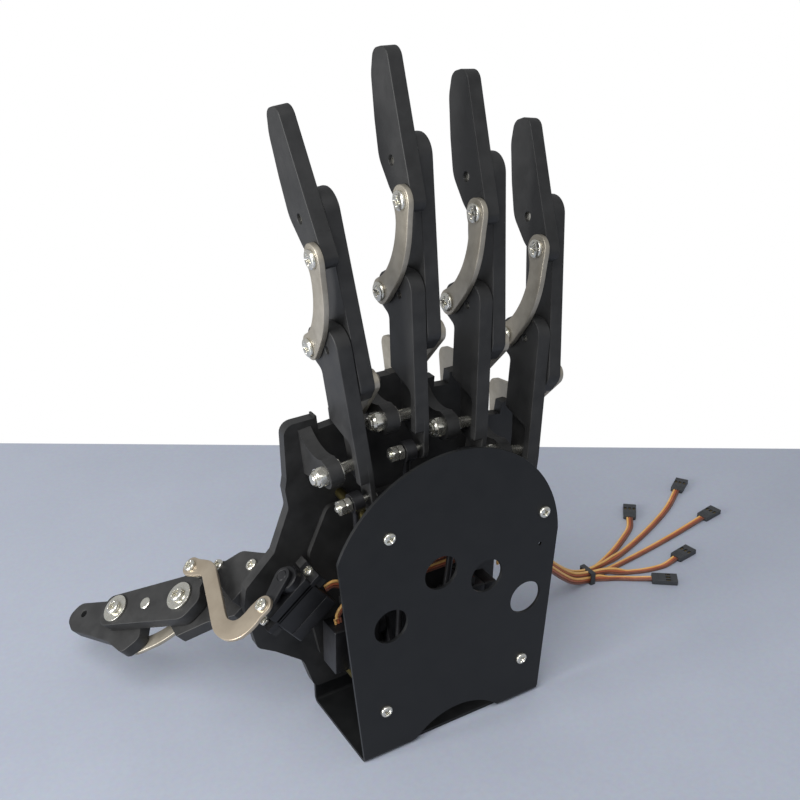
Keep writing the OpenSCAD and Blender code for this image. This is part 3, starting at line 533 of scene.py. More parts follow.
def slab(outlines: Sequence[Sequence[Point2]], low: float, high: float, bevel: float = 0.35,
         where: Matrix = FACE_UP) -> bpy.types.Mesh:
    """Flat plate with holes and softly rounded edges.

    Args:
        outlines: the outline, then its holes.
        low, high: the plate's two faces along its local z.
        bevel: radius of the rounded edges.
        where: matrix that puts the plate in its place.

    Returns:
        The mesh of the plate.
    """
    curve = bpy.data.curves.new("outline", "CURVE")
    curve.dimensions = "2D"
    curve.fill_mode = "BOTH"
    curve.extrude = (high - low) / 2 - bevel
    curve.bevel_depth = bevel
    curve.bevel_resolution = 2
    curve.offset = -bevel
    for outline in outlines:
        spline = curve.splines.new("POLY")
        spline.points.add(len(outline) - 1)
        for point, (x, y) in zip(spline.points, outline):
            point.co = (x, y, 0, 1)
        spline.use_cyclic_u = True
    obj = link_object("outline", curve)
    bpy.context.view_layer.update()
    deps = bpy.context.evaluated_depsgraph_get()
    mesh = bpy.data.meshes.new_from_object(obj.evaluated_get(deps))
    bpy.data.objects.remove(obj)
    bpy.data.curves.remove(curve)
    clean(mesh)
    mesh.transform(where @ move(0, 0, (low + high) / 2))
    return mesh


def lathe(profile: Sequence[Point2], where: Matrix = FACE_UP, sides: int = 40,
          angle: float = 34.0) -> bpy.types.Mesh:
    """Solid of revolution about local z.

    Args:
        profile: radius and z of each ring.
        where: matrix that puts the solid in its place.
        sides: points of each ring.
        angle: edges over this many degrees stay sharp.

    Returns:
        The mesh of the solid.
    """
    verts, faces = [], []
    for r, z in profile:
        verts += circle(r, z, sides)
    for i in range(len(profile) - 1):
        for k in range(sides):
            a, b = i * sides + k, i * sides + (k + 1) % sides
            faces.append((a, b, b + sides, a + sides))
    faces.append(tuple(reversed(range(sides))))
    faces.append(tuple(range((len(profile) - 1) * sides, len(profile) * sides)))
    return solid(verts, faces, angle, where)


def washer(inner: float, outer: float, thick: float, where: Matrix) -> bpy.types.Mesh:
    """Flat washer with rounded edges, its lower face at local z = 0."""
    return slab([ring((0, 0), outer, 64), ring((0, 0), inner, 48)], 0, thick, 0.18, where)


def hex_nut(flats: float, inner: float, thick: float, where: Matrix,
            collar: float = 0.0) -> bpy.types.Mesh:
    """Chamfered hexagon nut that stands on local z = 0.

    Args:
        flats: width across flats.
        inner: radius of the bore.
        thick: whole height.
        where: matrix that puts the nut in its place.
        collar: height of the rounded locking collar, which is part of the whole height.

    Returns:
        The mesh of the nut.
    """
    sides = 48
    bm = bmesh.new()
    corner = flats / 2 / math.cos(math.pi / 6)
    body = thick - collar
    rows = [(0.0, 0.93), (0.22 * (corner - flats / 2) + 0.25, 1.0), (body - 0.45, 1.0), (body, 0.9)]
    loops = []
    for z, share in rows:
        loop = []
        for k in range(sides):
            a = 2 * math.pi * k / sides
            wall = flats / 2 / math.cos((a % (math.pi / 3)) - math.pi / 6)
            limit = corner * share if share < 1 else corner
            loop.append(bm.verts.new((min(wall, limit) * math.cos(a),
                                      min(wall, limit) * math.sin(a), z)))
        loops.append(loop)
    if collar > 0:
        for z, r in ((body, flats * 0.455), (body + collar * 0.6, flats * 0.43),
                     (thick, flats * 0.36)):
            loops.append([bm.verts.new(p) for p in circle(r, z, sides)])
    top = loops[-1][0].co.z
    for r, z in ((inner + 0.35, top), (inner, top - 0.4), (inner, 0.3), (inner + 0.2, 0.0)):
        loops.append([bm.verts.new(p) for p in circle(r, z, sides)])
    count = len(loops)
    for i in range(count):
        a, b = loops[i], loops[(i + 1) % count]
        for k in range(sides):
            bm.faces.new((a[k], a[(k + 1) % sides], b[(k + 1) % sides], b[k]))
    mesh = bpy.data.meshes.new("nut")
    bm.to_mesh(mesh)
    bm.free()
    clean(mesh, 28)
    mesh.transform(where)
    return mesh


def cross_screw(r: float, t: float, shank: float, length: float,
                where: Matrix = FACE_UP) -> bpy.types.Mesh:
    """Pan head screw with a cross recess; the head sits on local z = 0 and points to +z.

    Args:
        r, t: radius and height of the head.
        shank, length: radius and length of the shank below the head.
        where: matrix that puts the screw in its place.

    Returns:
        The mesh of the screw.
    """
    rings, sides = 18, 64
    half, reach = 0.2 * r, 0.66 * r

    def top(x: float, y: float) -> float:
        """Height of the head, with the cross cut into its crown.

        Args:
            x, y: the point, from the screw's axis.

        Returns:
            Height over the seat.
        """
        rho = min(1.0, math.hypot(x, y) / r)
        crown = t * (0.46 + 0.54 * math.sqrt(max(0.0, 1 - rho ** 2.6)))
        cut = 0.0
        for a, b in ((abs(x), abs(y)), (abs(y), abs(x))):
            wall = max(0.0, min(1.0, (half * (1.15 - 0.3 * a / reach) - b) / (0.09 * r)))
            end = max(0.0, min(1.0, (reach - a) / (0.3 * r)))
            cut = max(cut, min(wall, 1.0) * end)
        return max(0.1, crown - cut * 0.95 * t)

    verts = [(0.0, 0.0, top(0, 0))]
    for i in range(1, rings + 1):
        for k in range(sides):
            a = 2 * math.pi * k / sides
            x, y = r * i / rings * math.cos(a), r * i / rings * math.sin(a)
            verts.append((x, y, top(x, y)))
    for radius, z in ((r, 0.08), (r - 0.08, 0.0), (shank, 0.0), (shank, -length)):
        verts += circle(radius, z, sides)
    faces = [(0, 1 + k, 1 + (k + 1) % sides) for k in range(sides)]
    for i in range(rings + 3):
        for k in range(sides):
            a, b = 1 + i * sides + k, 1 + i * sides + (k + 1) % sides
            faces.append((a, a + sides, b + sides, b))
    last = 1 + (rings + 3) * sides
    faces.append(tuple(range(last, last + sides)))
    return solid(verts, faces, 40, where)


def merged(name: str, parts: Meshes) -> bpy.types.Mesh:
    """Joins several meshes, which are used up.

    Args:
        name: name of the result.
        parts: each mesh with its material slot number.

    Returns:
        The joined mesh.
    """
    bm = bmesh.new()
    for mesh, slot in parts:
        mesh.polygons.foreach_set("material_index", [slot] * len(mesh.polygons))
        bm.from_mesh(mesh)
        bpy.data.meshes.remove(mesh)
    out = bpy.data.meshes.new(name)
    bm.to_mesh(out)
    bm.free()
    return out


def sweep(path: Sequence[Vector], sides: Sequence[Vector], shift: Point2, radius: float,
          around: int = 10) -> bpy.types.Mesh:
    """Round tube beside a path.

    Args:
        path: points of the line that the tube follows.
        sides: unit side direction at each point.
        shift: offset of the tube along the side and along the side's normal.
        radius: radius of the tube.
        around: points round the tube.

    Returns:
        The mesh of the tube.
    """
    verts, faces = [], []
    n = len(path)
    for i, p in enumerate(path):
        t = (path[min(i + 1, n - 1)] - path[max(i - 1, 0)]).normalized()
        u = (sides[i] - t * sides[i].dot(t)).normalized()
        v = t.cross(u)
        c = p + u * shift[0] + v * shift[1]
        for k in range(around):
            a = 2 * math.pi * k / around
            verts.append(tuple(c + (u * math.cos(a) + v * math.sin(a)) * radius))
    for i in range(n - 1):
        for k in range(around):
            a, b = i * around + k, i * around + (k + 1) % around
            faces.append((a, b, b + around, a + around))
    faces.append(tuple(reversed(range(around))))
    faces.append(tuple(range((n - 1) * around, n * around)))
    return solid(verts, faces, 60)


# ---------------------------------------------------------------- repeats by Geometry Nodes

class Scatter:
    """Puts one template at many places through a node group built here."""

    def __init__(self) -> None:
        """Builds the node group with its named inputs."""
        group = bpy.data.node_groups.new("place_pieces", "GeometryNodeTree")
        face = group.interface
        for label, kind in (("Places", "NodeSocketGeometry"), ("Piece", "NodeSocketObject"),
                            ("Finish", "NodeSocketMaterial"), ("Spin", "NodeSocketFloat"),
                            ("Seed", "NodeSocketInt")):
            face.new_socket(name=label, in_out="INPUT", socket_type=kind)
        face.new_socket(name="Geometry", in_out="OUTPUT", socket_type="NodeSocketGeometry")
        enter = add_node(group, "NodeGroupInput").outputs
        info = add_node(group, "GeometryNodeObjectInfo", {"Object": enter["Piece"]})
        heading = add_node(group, "GeometryNodeInputNamedAttribute", {"Name": "heading"},
                           data_type="FLOAT_VECTOR")
        size = add_node(group, "GeometryNodeInputNamedAttribute", {"Name": "size"},
                        data_type="FLOAT")
        put = add_node(group, "GeometryNodeInstanceOnPoints", {
            "Points": enter["Places"], "Instance": info.outputs["Geometry"],
            "Rotation": heading.outputs["Attribute"], "Scale": size.outputs["Attribute"]})
        # input 3 and output 1 are the largest value and the result of a float
        chance = add_node(group, "FunctionNodeRandomValue", {
            3: enter["Spin"], "Seed": enter["Seed"]}, data_type="FLOAT")
        axis = add_node(group, "ShaderNodeCombineXYZ", {"Z": chance.outputs[1]})
        spin = add_node(group, "GeometryNodeRotateInstances", {
            "Instances": put.outputs["Instances"], "Rotation": axis.outputs["Vector"]})
        real = add_node(group, "GeometryNodeRealizeInstances", {
            "Geometry": spin.outputs["Instances"]})
        paint = add_node(group, "GeometryNodeSetMaterial", {
            "Geometry": real.outputs["Geometry"], "Material": enter["Finish"]})
        add_node(group, "NodeGroupOutput", {"Geometry": paint.outputs["Geometry"]})
        self._group = group
        self._ids = {s.name: s.identifier for s in face.items_tree if s.in_out == "INPUT"}

    def run(self, template: bpy.types.Mesh, places: Places,
            material: bpy.types.Material, spin: float = 1.2, seed: int = 7) -> bpy.types.Mesh:
        """Mesh of the template at every place.

        Args:
            template: the piece, in millimetres round its own origin.
            places: matrix and size factor of each copy.
            material: material of all copies.
            spin: largest turn of a copy about its own axis, in radians.
            seed: start of the random turns.

        Returns:
            A plain mesh of all copies.
        """
        piece = link_object("template", template)
        points = bpy.data.meshes.new("places")
        points.from_pydata([m.translation for m, _ in places], [], [])
        points.attributes.new("heading", "FLOAT_VECTOR", "POINT")
        points.attributes.new("size", "FLOAT", "POINT")
        for i, (m, s) in enumerate(places):
            points.attributes["heading"].data[i].vector = m.to_euler()
            points.attributes["size"].data[i].value = s
        host = link_object("places", points)
        mod = host.modifiers.new("place", "NODES")
        mod.node_group = self._group
        values = {"Piece": piece, "Finish": material, "Spin": spin, "Seed": seed}
        for label, value in values.items():
            mod[self._ids[label]] = value
        host.update_tag()
        bpy.context.view_layer.update()
        deps = bpy.context.evaluated_depsgraph_get()
        mesh = bpy.data.meshes.new_from_object(host.evaluated_get(deps))
        host.modifiers.remove(mod)
        bpy.data.objects.remove(host)
        bpy.data.objects.remove(piece)
        mesh.polygons.foreach_set("use_smooth", [True] * len(mesh.polygons))
        mesh.set_sharp_from_angle(angle=math.radians(38))
        return mesh


# ---------------------------------------------------------------- workshop

@dataclass
class Workshop:
    """What every sub-assembly needs: finishes and the scatter group."""

    finishes: Finishes = field(default_factory=Finishes)
    scatter: Scatter = field(default_factory=Scatter)

    def piece(self, name: str, parts: Meshes, finishes: Iterable[Finish], body: str, slot: str,
              replaces: Sequence[str] = ()) -> bpy.types.Object:
        """One finished piece at the origin that rides on a CAD body.

        Args:
            name: name of the piece.
            parts: meshes in millimetres with their material slot numbers.
            finishes: finish of each slot.
            body: CAD body that the piece moves with.
            slot: kind of the piece, such as black_plate; black plates get even normals.
            replaces: CAD nodes that it stands for.

        Returns:
            The object of the piece.
        """
        mesh = merged(name, parts)
        mesh.transform(Matrix.Scale(MM, 4))
        for finish in finishes:
            mesh.materials.append(self.finishes.get(finish))
        obj = link_object(name, mesh)
        if slot == "black_plate":
            even_normals(obj)
        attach(obj, body)
        if replaces:
            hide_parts(*replaces)
        LOG.info("%s: %d faces", name, len(mesh.polygons))
        return obj

    def screws(self, name: str, places: Places, body: str, node: str,
               head: tuple[float, float] = (2.8, 1.7), shank: float = 1.5, length: float = 6.0,
               extra: Meshes | None = None) -> bpy.types.Object:
        """Screws of one CAD node, placed through the node group.

        Args:
            name: name of the piece.
            places: matrix and size factor of each screw.
            body: CAD body that they move with.
            node: CAD node that they stand for.
            head: radius and height of the head.
            shank, length: radius and length of the shank.
            extra: further meshes of the same piece.

        Returns:
            The object of all the screws.
        """
        template = cross_screw(head[0], head[1], shank, length)
        mesh = self.scatter.run(template, places, self.finishes.get(Finishes.SCREW),
                                seed=len(name))
        return self.piece(name, [(mesh, 0)] + (extra or []), [Finishes.SCREW], body,
                          "bright_nickel", [node])

    def dress(self, nodes: Iterable[str], finish: Finish, bevel: float = 0.25) -> None:
        """Finish and softened edges for CAD nodes that stay as they are.

        Args:
            nodes: names of the CAD nodes.
            finish: their finish.
            bevel: width of the softened edges.
        """
        material = self.finishes.get(finish)
        for name in nodes:
            obj = NODES[name]
            obj.data.materials.clear()
            obj.data.materials.append(material)
            weld = obj.modifiers.new("weld", "WELD")
            weld.merge_threshold = 1e-6
            flat = obj.modifiers.new("flat", "DECIMATE")
            flat.decimate_type = "DISSOLVE"
            flat.angle_limit = math.radians(0.6)
            edge = obj.modifiers.new("edge", "BEVEL")
            edge.width = bevel * MM
            edge.segments = 2
            edge.limit_method = "ANGLE"
            edge.angle_limit = math.radians(38)
            edge.miter_outer = "MITER_ARC"
            edge.harden_normals = False
            smooth = obj.modifiers.new("shade", "NODES")
            smooth.node_group = shade_by_angle()
            even_normals(obj)


def even_normals(obj: bpy.types.Object) -> None:
    """Keeps large faces evenly lit beside their rounded edges."""
    even = obj.modifiers.new("even", "WEIGHTED_NORMAL")
    even.keep_sharp = True


def shade_by_angle() -> bpy.types.NodeTree:
    """Node group that smooths every face but keeps the sharp edges.

    Returns:
        The group, built on first use.
    """
    known = bpy.data.node_groups.get("shade_by_angle")
    if known:
        return known
    group = bpy.data.node_groups.new("shade_by_angle", "GeometryNodeTree")
    for way in ("INPUT", "OUTPUT"):
        group.interface.new_socket(name="Geometry", in_out=way, socket_type="NodeSocketGeometry")
    enter = add_node(group, "NodeGroupInput")
    angle = add_node(group, "GeometryNodeInputMeshEdgeAngle")
    sharp = add_node(group, "FunctionNodeCompare", {
        "A": angle.outputs["Unsigned Angle"], "B": math.radians(32)},
        data_type="FLOAT", operation="GREATER_THAN")
    faces = add_node(group, "GeometryNodeSetShadeSmooth", {"Geometry": enter.outputs[0]})
    edges = add_node(group, "GeometryNodeSetShadeSmooth", {
        "Geometry": faces.outputs["Geometry"], "Selection": sharp.outputs["Result"],
        "Shade Smooth": False}, domain="EDGE")
    add_node(group, "NodeGroupOutput", {0: edges.outputs["Geometry"]})
    return group


# ---------------------------------------------------------------- camera, light and floor

@dataclass(frozen=True)
class Studio:
    """Camera, pale table, white backdrop and soft light.

    Args:
        focal: focal length as a share of the picture's width.
        sensor: width of the sensor in millimetres.
        azimuth, elevation, roll: angles of the camera in degrees.
        eye: place of the camera.
        edge: two points of the line on the floor where the table top ends.
    """

    focal: float = 1135.9 / 800
    sensor: float = 36.0
    azimuth: float = -30.31
    elevation: float = 26.42
    roll: float = -0.863
    eye: Point3 = (-225.39, -364.82, 372.41)
    edge: tuple[Point3, Point3] = ((-115, 372, 0), (342, 76, 0))

    def camera(self) -> None:
        """Camera fitted to the screws and edges of the bracket."""
        az, el, ro = (math.radians(v) for v in (self.azimuth, self.elevation, self.roll))
        back = Vector((math.sin(az) * math.cos(el), -math.cos(az) * math.cos(el), math.sin(el)))
        right = (-back).cross(Vector((0, 0, 1))).normalized()
        up = right.cross(-back)
        c, s = math.cos(ro), math.sin(ro)
        r2, u2 = right * c + up * s, up * c - right * s
        data = bpy.data.cameras.new("camera")
        data.sensor_width = self.sensor
        data.lens = self.focal * self.sensor
        data.clip_end = 20
        cam = link_object("camera", data)
        rows = Matrix((r2, u2, back)).transposed().to_4x4()
        cam.matrix_world = Matrix.Translation(Vector(self.eye) * MM) @ rows
        bpy.context.scene.camera = cam

    def floor(self, shop: Workshop) -> None:
        """Table top that ends behind the hand.

        Args:
            shop: gives the finish of the table.
        """
        a, b = (Vector(p) for p in self.edge)
        along = (b - a).normalized()
        near = Vector((along.y, -along.x, 0))
        corners = [a - along * 2500, b + along * 2500, b + along * 2500 + near * 3500,
                   a - along * 2500 + near * 3500]
        mesh = bpy.data.meshes.new("table_top")
        low = [p - Vector((0, 0, 20)) for p in corners]
        mesh.from_pydata([tuple(p * MM) for p in corners + low], [],
                         [(3, 2, 1, 0), (4, 5, 6, 7), (0, 1, 5, 4), (1, 2, 6, 5), (2, 3, 7, 6),
                          (3, 0, 4, 7)])
        mesh.materials.append(shop.finishes.get(Finishes.TABLE))
        obj = link_object("table_top", mesh)

    @staticmethod
    def world() -> None:
        """White for the camera and through clear pieces, softer light on the surfaces."""
        world = bpy.data.worlds.new("studio")
        bpy.context.scene.world = world
        world.use_nodes = True
        tree = world.node_tree
        tree.nodes.clear()
        path = add_node(tree, "ShaderNodeLightPath").outputs
        seen = add_node(tree, "ShaderNodeMath", {
            0: path["Is Camera Ray"], 1: path["Is Transmission Ray"]}, operation="MAXIMUM")
        soft = add_node(tree, "ShaderNodeBackground", {
            "Color": (0.95, 0.97, 1.0, 1), "Strength": 0.43})
        white = add_node(tree, "ShaderNodeBackground", {"Color": (1, 1, 1, 1), "Strength": 1.0})
        mix = add_node(tree, "ShaderNodeMixShader", {
            "Fac": seen.outputs[0], 1: soft.outputs[0], 2: white.outputs[0]})
        add_node(tree, "ShaderNodeOutputWorld", {"Surface": mix.outputs[0]})

    @staticmethod
    def lamp(name: str, place: Vector, aim: Vector, size: float, power: float,
             colour: tuple[float, float, float]) -> None:
        """Square soft box.

        Args:
            name: name of the lamp.
            place, aim: where it stands and what it points at, in metres.
            size: length of a side in metres.
            power: power in watts.
            colour: colour of its light.
        """
        data = bpy.data.lights.new(name, "AREA")
        data.shape = "SQUARE"
        data.size = size
        data.energy = power
        data.color = colour
        obj = link_object(name, data)
        way = (aim - place).normalized()
        obj.matrix_world = (Matrix.Translation(place)
                            @ way.to_track_quat("-Z", "Y").to_matrix().to_4x4())

    def light(self) -> None:
        """Key from the left and above, weak fill from the front, soft top from behind."""
        aim = Vector((0, 0, 0.13))
        self.lamp("key", Vector((-1.28, -0.04, 0.4)), aim, 0.6, 19.0, (1.0, 0.99, 0.97))
        self.lamp("fill", Vector((0.2, -1.5, 0.9)), aim, 1.0, 1.2, (0.97, 0.98, 1.0))
        self.lamp("top", Vector((-0.6, -0.6, 1.4)), aim, 0.9, 14.0, (1.0, 1.0, 1.0))


# ---------------------------------------------------------------- servo leads

@dataclass
class Leads:
    """Five flat three-wire servo leads and their plugs.

    Args:
        shop: makes the pieces.
        wire: radius of a wire.
        pitch: distance between the wires of a lead.
        contacts: places of a plug's contacts across its width.
        labels: the servo of each lead.
        starts, ends: knots of each lead before and after the shared bundle.
        bundle: knots of the bundle's centre line.
        lanes: each lead's place in the bundle, across and up.
        joins: knot of the bundle where each lead joins it.
    """

    shop: Workshop
    wire: float = 0.66
    pitch: float = 1.3
    contacts: Point3 = (-2.54, 0, 2.54)
    labels: tuple[str, ...] = ("index", "middle", "ring", "little", "thumb")
    bundle: Knots = ((26, 9, 67), (46, 9, 65), (62, 10, 57), (80, 14, 40), (98, 22.5, 22),
                     (112, 29, 10), (126, 33, 3.5))
    lanes: tuple[Point2, ...] = ((1.35, 1.5), (0, -1.5), (-2.7, -1.5), (-1.35, 1.5), (2.7, -1.5))
    joins: tuple[int, ...] = (0, 0, 2, 0, 0)
    starts: tuple[Knots, ...] = (
        ((-12.4, 3, 78), (-12, 3.2, 74.4), (-6.5, 5.6, 70.6), (6, 9.2, 69)),
        ((-43.8, 3, 58.7), (-43.6, 3.6, 62.6), (-38, 5.6, 65.4), (-26, 8.2, 65.5), (-6, 9, 65.5)),
        ((43.8, 3, 58.7), (44.3, 3.2, 61.6), (50, 4.2, 62.6)),
        ((13.8, 3, 80), (14.2, 3.1, 75.5), (19.5, 5.2, 70.3)),
        ((-48.7, 5.1, 77.6), (-44.5, 5.6, 78.4), (-38, 7.5, 74.5), (-30, 9.5, 70), (-14, 11.7, 66),
         (4, 11.7, 65.5)),
    )
    ends: tuple[Knots, ...] = (
        ((140, 36.8, 3.4), (162, 43.5, 1.5), (188, 53, 1.5), (214, 65, 1.5), (233, 77, 1.5)),
        ((142, 34, 1.5), (166, 36.5, 1.5), (194, 40.5, 1.5), (224, 45.5, 1.5)),
        ((138, 26.5, 1.5), (148, 20, 1.5), (156, 14, 1.5)),
        ((138, 30.6, 3.4), (150, 26, 1.5), (160, 22.3, 1.5), (171, 20.5, 1.5), (181, 22, 1.5)),
        ((140, 40, 1.5), (156, 46.5, 1.5), (171, 54.5, 1.5), (181, 61, 1.5), (187, 68, 1.5)),
    )

    def route(self, i: int) -> list[Vector]:
        """Knots of lead i as the CAD has them.

        Args:
            i: number of the lead.

        Returns:
            The knots from the servo to the plug.
        """
        dy, dz = self.lanes[i]
        bundle = [(x, y + dy, z + dz) for x, y, z in self.bundle[self.joins[i]:]]
        return [Vector(p) for p in (*self.starts[i], *bundle, *self.ends[i])]

    def lead(self, i: int, plug: bpy.types.Object) -> None:
        """One ribbon of three wires, on edge in the bundle and flat on the table.

        Args:
            i: number of the lead.
            plug: the plug at its far end; not used.
        """
        knots = self.route(i)
        flat_from = len(knots) - len(self.ends[i]) + (1 if self.ends[i][0][2] > 2 else 0)
        tilt = []
        for k, p in enumerate(knots):
            flat = k >= flat_from
            tilt.append(0.0 if flat else 90.0)
            if flat:
                knots[k] = Vector((p.x, p.y, 1.5 if k == len(knots) - 1 else 0.72))
        per = 8
        path = spline_points(knots, per)
        sides = []
        for k, p in enumerate(path):
            t = (path[min(k + 1, len(path) - 1)] - path[max(k - 1, 0)]).normalized()
            level = Vector((0, 0, 1)).cross(t)
            level = level.normalized() if level.length > 0.2 else Vector((0, 1, 0))
            lo = min(k // per, len(tilt) - 1)
            hi = min(lo + 1, len(tilt) - 1)
            share = (k % per) / per
            share = share * share * (3 - 2 * share)
            angle = math.radians(tilt[lo] * (1 - share) + tilt[hi] * share)
            sides.append(Matrix.Rotation(angle, 3, t) @ level)
        for p, u in zip(path, sides):
            p.z = max(p.z, abs(u.z) * self.pitch + self.wire + 0.02)
        parts = [(sweep(path, sides, ((j - 1) * self.pitch, 0), self.wire), j) for j in range(3)]
        label = self.labels[i]
        obj = self.shop.piece(f"{label}_servo_lead", parts,
                              [Finishes.WIRE_BROWN, Finishes.WIRE_RED, Finishes.WIRE_ORANGE],
                              "frame", "lead_wire", [f"{label}_lead"])

    def plug(self, i: int) -> bpy.types.Object:
        """Three-pin plug housing with ribs, contact windows and contacts.

        Args:
            i: number of the lead.

        Returns:
            The object of the plug.
        """
        knots = self.route(i)
        way = knots[-1] - knots[-2]
        place = (Matrix.Translation(knots[-1])
                 @ turn("Z", math.degrees(math.atan2(way.y, way.x))))
        box = rounded([(0.0, -3.7, 0.8), (14, -3.9, 0.4), (14, 3.9, 0.4), (0.0, 3.7, 0.8)])
        windows = [oblong(7.6, 10.4, y - 0.8, y + 0.8, 0.2, 3) for y in self.contacts]
        parts: Meshes = [
            (slab([box, *windows], 0.55, 1.35, 0.16, place), 0),
            (slab([box], -1.35, 0.6, 0.2, place), 0),
        ]
        for y in self.contacts:
            contact = oblong(7.9, 10.1, y - 0.5, y + 0.5, 0.1, 2)
            parts.append((slab([contact], 0.5, 0.85, 0.08, place), 1))
        for x in (1.4, 2.6, 3.8):
            rib = oblong(x, x + 0.5, -3.5, 3.5, 0.2, 2)
            parts.append((slab([rib], 1.2, 1.5, 0.1, place), 0))
        return self.shop.piece(f"{self.labels[i]}_plug", parts, [Finishes.NYLON, Finishes.CONTACT],
                               "frame", "lead_wire", ["lead_plugs"])

    def build(self) -> None:
        """All leads with their plugs."""
        for i in range(len(self.labels)):
            self.lead(i, self.plug(i))


# ---------------------------------------------------------------- fingers

@dataclass
class FingerPieces:
    """Plates, links, pins and nuts of one finger.

    Args:
        shop: makes the pieces.
        finger: which finger it is.
        sizes: sizes of its plates.
        bevel: radius of the plates' rounded edges.
        eye: radius of the first plate's tail round its pin.
        bow: rise of the tip strap over its straight line.
    """

    shop: Workshop
    finger: Finger
    sizes: FingerSizes = SIZES
    bevel: float = 0.4
    eye: float = 4.4
    bow: float = 6.5

    def __post_init__(self) -> None:
        """Places the three plates at rest."""
        self.label = self.finger.label
        p, s = PLACES[self.finger], self.sizes
        self.base = move(p.x, AXLE_Y, p.z) @ turn("Y", p.fan)
        self.proximal = self.base @ turn("X", -(s.leans[0] + p.curl))
        self.middle = (self.proximal @ move(0, 0, s.proximal)
                       @ turn("X", -(s.leans[1] + s.ratios[0] * p.curl)))
        self.distal = (self.middle @ move(0, 0, s.middle)
                       @ turn("X", -(s.leans[2] + s.ratios[1] * p.curl)))
        self.curl = p.curl

    @staticmethod
    def _along(plate: Matrix, p: Point2, x: float, face: Matrix) -> Matrix:
        """Matrix of a fastener at a point of a plate, x along the axle."""
        return plate @ move(x, p[0], p[1]) @ face

    def _piece(self, name: str, node: str, parts: Meshes, slot: str, *finishes: Finish) -> None:
        """Piece of this finger that rides on, and stands for, one CAD node."""
        self.shop.piece(f"{self.label}_{name}", parts, finishes, f"{self.label}_{node}", slot,
                        [f"{self.label}_{node}"])

    def make_proximal(self) -> None:
        """First plate: full cheek on top, deep pocket round the axle, tail with its bolt."""
        s, h = self.sizes, self.sizes.width / 2
        t, c, eye = s.tail_pin, s.proximal, self.eye
        outline = rounded([
            (-h, c + 9.7, 8.5), (h - 3, c + 9.7, 8), (s.tip_link_pin[0] + 5.8, c + 4.5, 5.5),
            (s.tip_link_pin[0] + 5.8, c - 7, 5), (h - 0.8, c - 11, 3), (h - 1.2, 20, 12),
            (6.4, 5, 6), (6.4, -6.4, 6), (t[0] + eye, -9, 3), (t[0] + eye, t[1] - eye, 4),
            (t[0] - eye, t[1] - eye, 4), (-h - 2.4, 0, 12), (-h - 1.6, 20, 30)])
        cheek = rounded([
            (-h, c + 9.7, 8.5), (h - 3, c + 9.7, 8), (s.tip_link_pin[0] + 5.8, c + 4.5, 5.5),
            (s.tip_link_pin[0] + 5.8, c - 7, 5), (h - 0.8, c - 11, 3), (h - 1.15, 19.0, 0.5),
            (0.5, 16.2, 9), (-7.6, 13.4, 3.2), (-7.6, -4.4, 0.8), (-11.45, -4.4, 0.8),
            (-h - 2.3, 0.5, 4), (-h - 1.6, 20, 30)])
        place = self.proximal @ ALONG_X
        # the web lies a hair inside the cheek, so that no two faces fall together
        inset = 0.03
        web = [(y * (1 - inset / 12), z * (1 - inset / 40)) for y, z in outline]
        parts: Meshes = [
            (slab([cheek, ring((0, c), 1.65, 28)], 0, s.thick, self.bevel, place), 0),
            (slab([web], 4.0, s.thick - 0.02, self.bevel, place), 0),
            (cross_screw(4.0, 1.7, 1.5, 4.0,
                         self._along(self.proximal, s.tip_link_pin, -2.9, FACE_LEFT)), 1),
            (lathe([(2.8, 0), (2.8, 0.8), (1.75, 1.7)],
                   self._along(self.proximal, t, s.thick + 0.1, FACE_RIGHT)), 1),
            (lathe([(1.5, 0), (1.5, 16.6), (1.15, 17.0)],
                   self._along(self.proximal, t, s.thick + 0.1, FACE_LEFT)), 1),
            (hex_nut(6.0, 1.5, 2.4, self._along(self.proximal, t, -4.0, FACE_LEFT)), 1),
            (hex_nut(6.0, 1.5, 2.4, self._along(self.proximal, t, -6.8, FACE_LEFT)), 1),
        ]
        self._piece("first_plate", "proximal", parts, "black_plate",
                    Finishes.PLATE, Finishes.SCREW)

    def make_middle(self) -> None:
        """Second plate with the two joint pins that ride in it."""
        s, h = self.sizes, self.sizes.width / 2
        x0 = s.thick + s.slide
        k = s.knuckle_pin
        outline = rounded([
            (-h, s.middle + 9.8, 8.6), (h, s.middle + 9.8, 8.6), (h - 0.6, 18, 30),
            (h - 1.6, -10, 10), (k[0] + 7.5, -24.5, 6), (k[0] + 0.5, -24.5, 5), (-h, -18, 6)])
        parts: Meshes = [(slab([outline], x0, x0 + s.thick, self.bevel,
                                self.middle @ ALONG_X), 0)]
        for p in ((0.0, 0.0), (0.0, s.middle)):
            parts.append((cross_screw(3.4, 1.8, 2.0, 12.0,
                                      self._along(self.middle, p, x0 + s.thick + 0.1,
                                                  FACE_RIGHT)), 1))
        self._piece("second_plate", "middle", parts, "black_plate",
                    Finishes.PLATE, Finishes.SCREW)

    def make_distal(self) -> None:
        """Blunt tip plate with the open joint bore."""
        s = self.sizes
        t, tip = s.distal_tail, s.distal
        outline = rounded([
            (-5.0, tip + 0.3, 5.2), (5.4, tip - 0.1, 4.6), (8.8, tip - 9, 14), (9.8, 16, 40),
            (9.6, 1, 14), (3.6, -10.5, 12), (t[0] + 5.2, t[1] - 5.2, 5),
            (t[0] - 4.6, t[1] - 5.2, 5), (-11.6, -6, 20), (-9.8, 6, 40)], 14)
        parts: Meshes = [
            (slab([outline, ring((0, 0), 2.05, 32)], 0, s.thick, self.bevel,
                  self.distal @ ALONG_X), 0)]
        self._piece("tip_plate", "distal", parts, "black_plate", Finishes.PLATE)

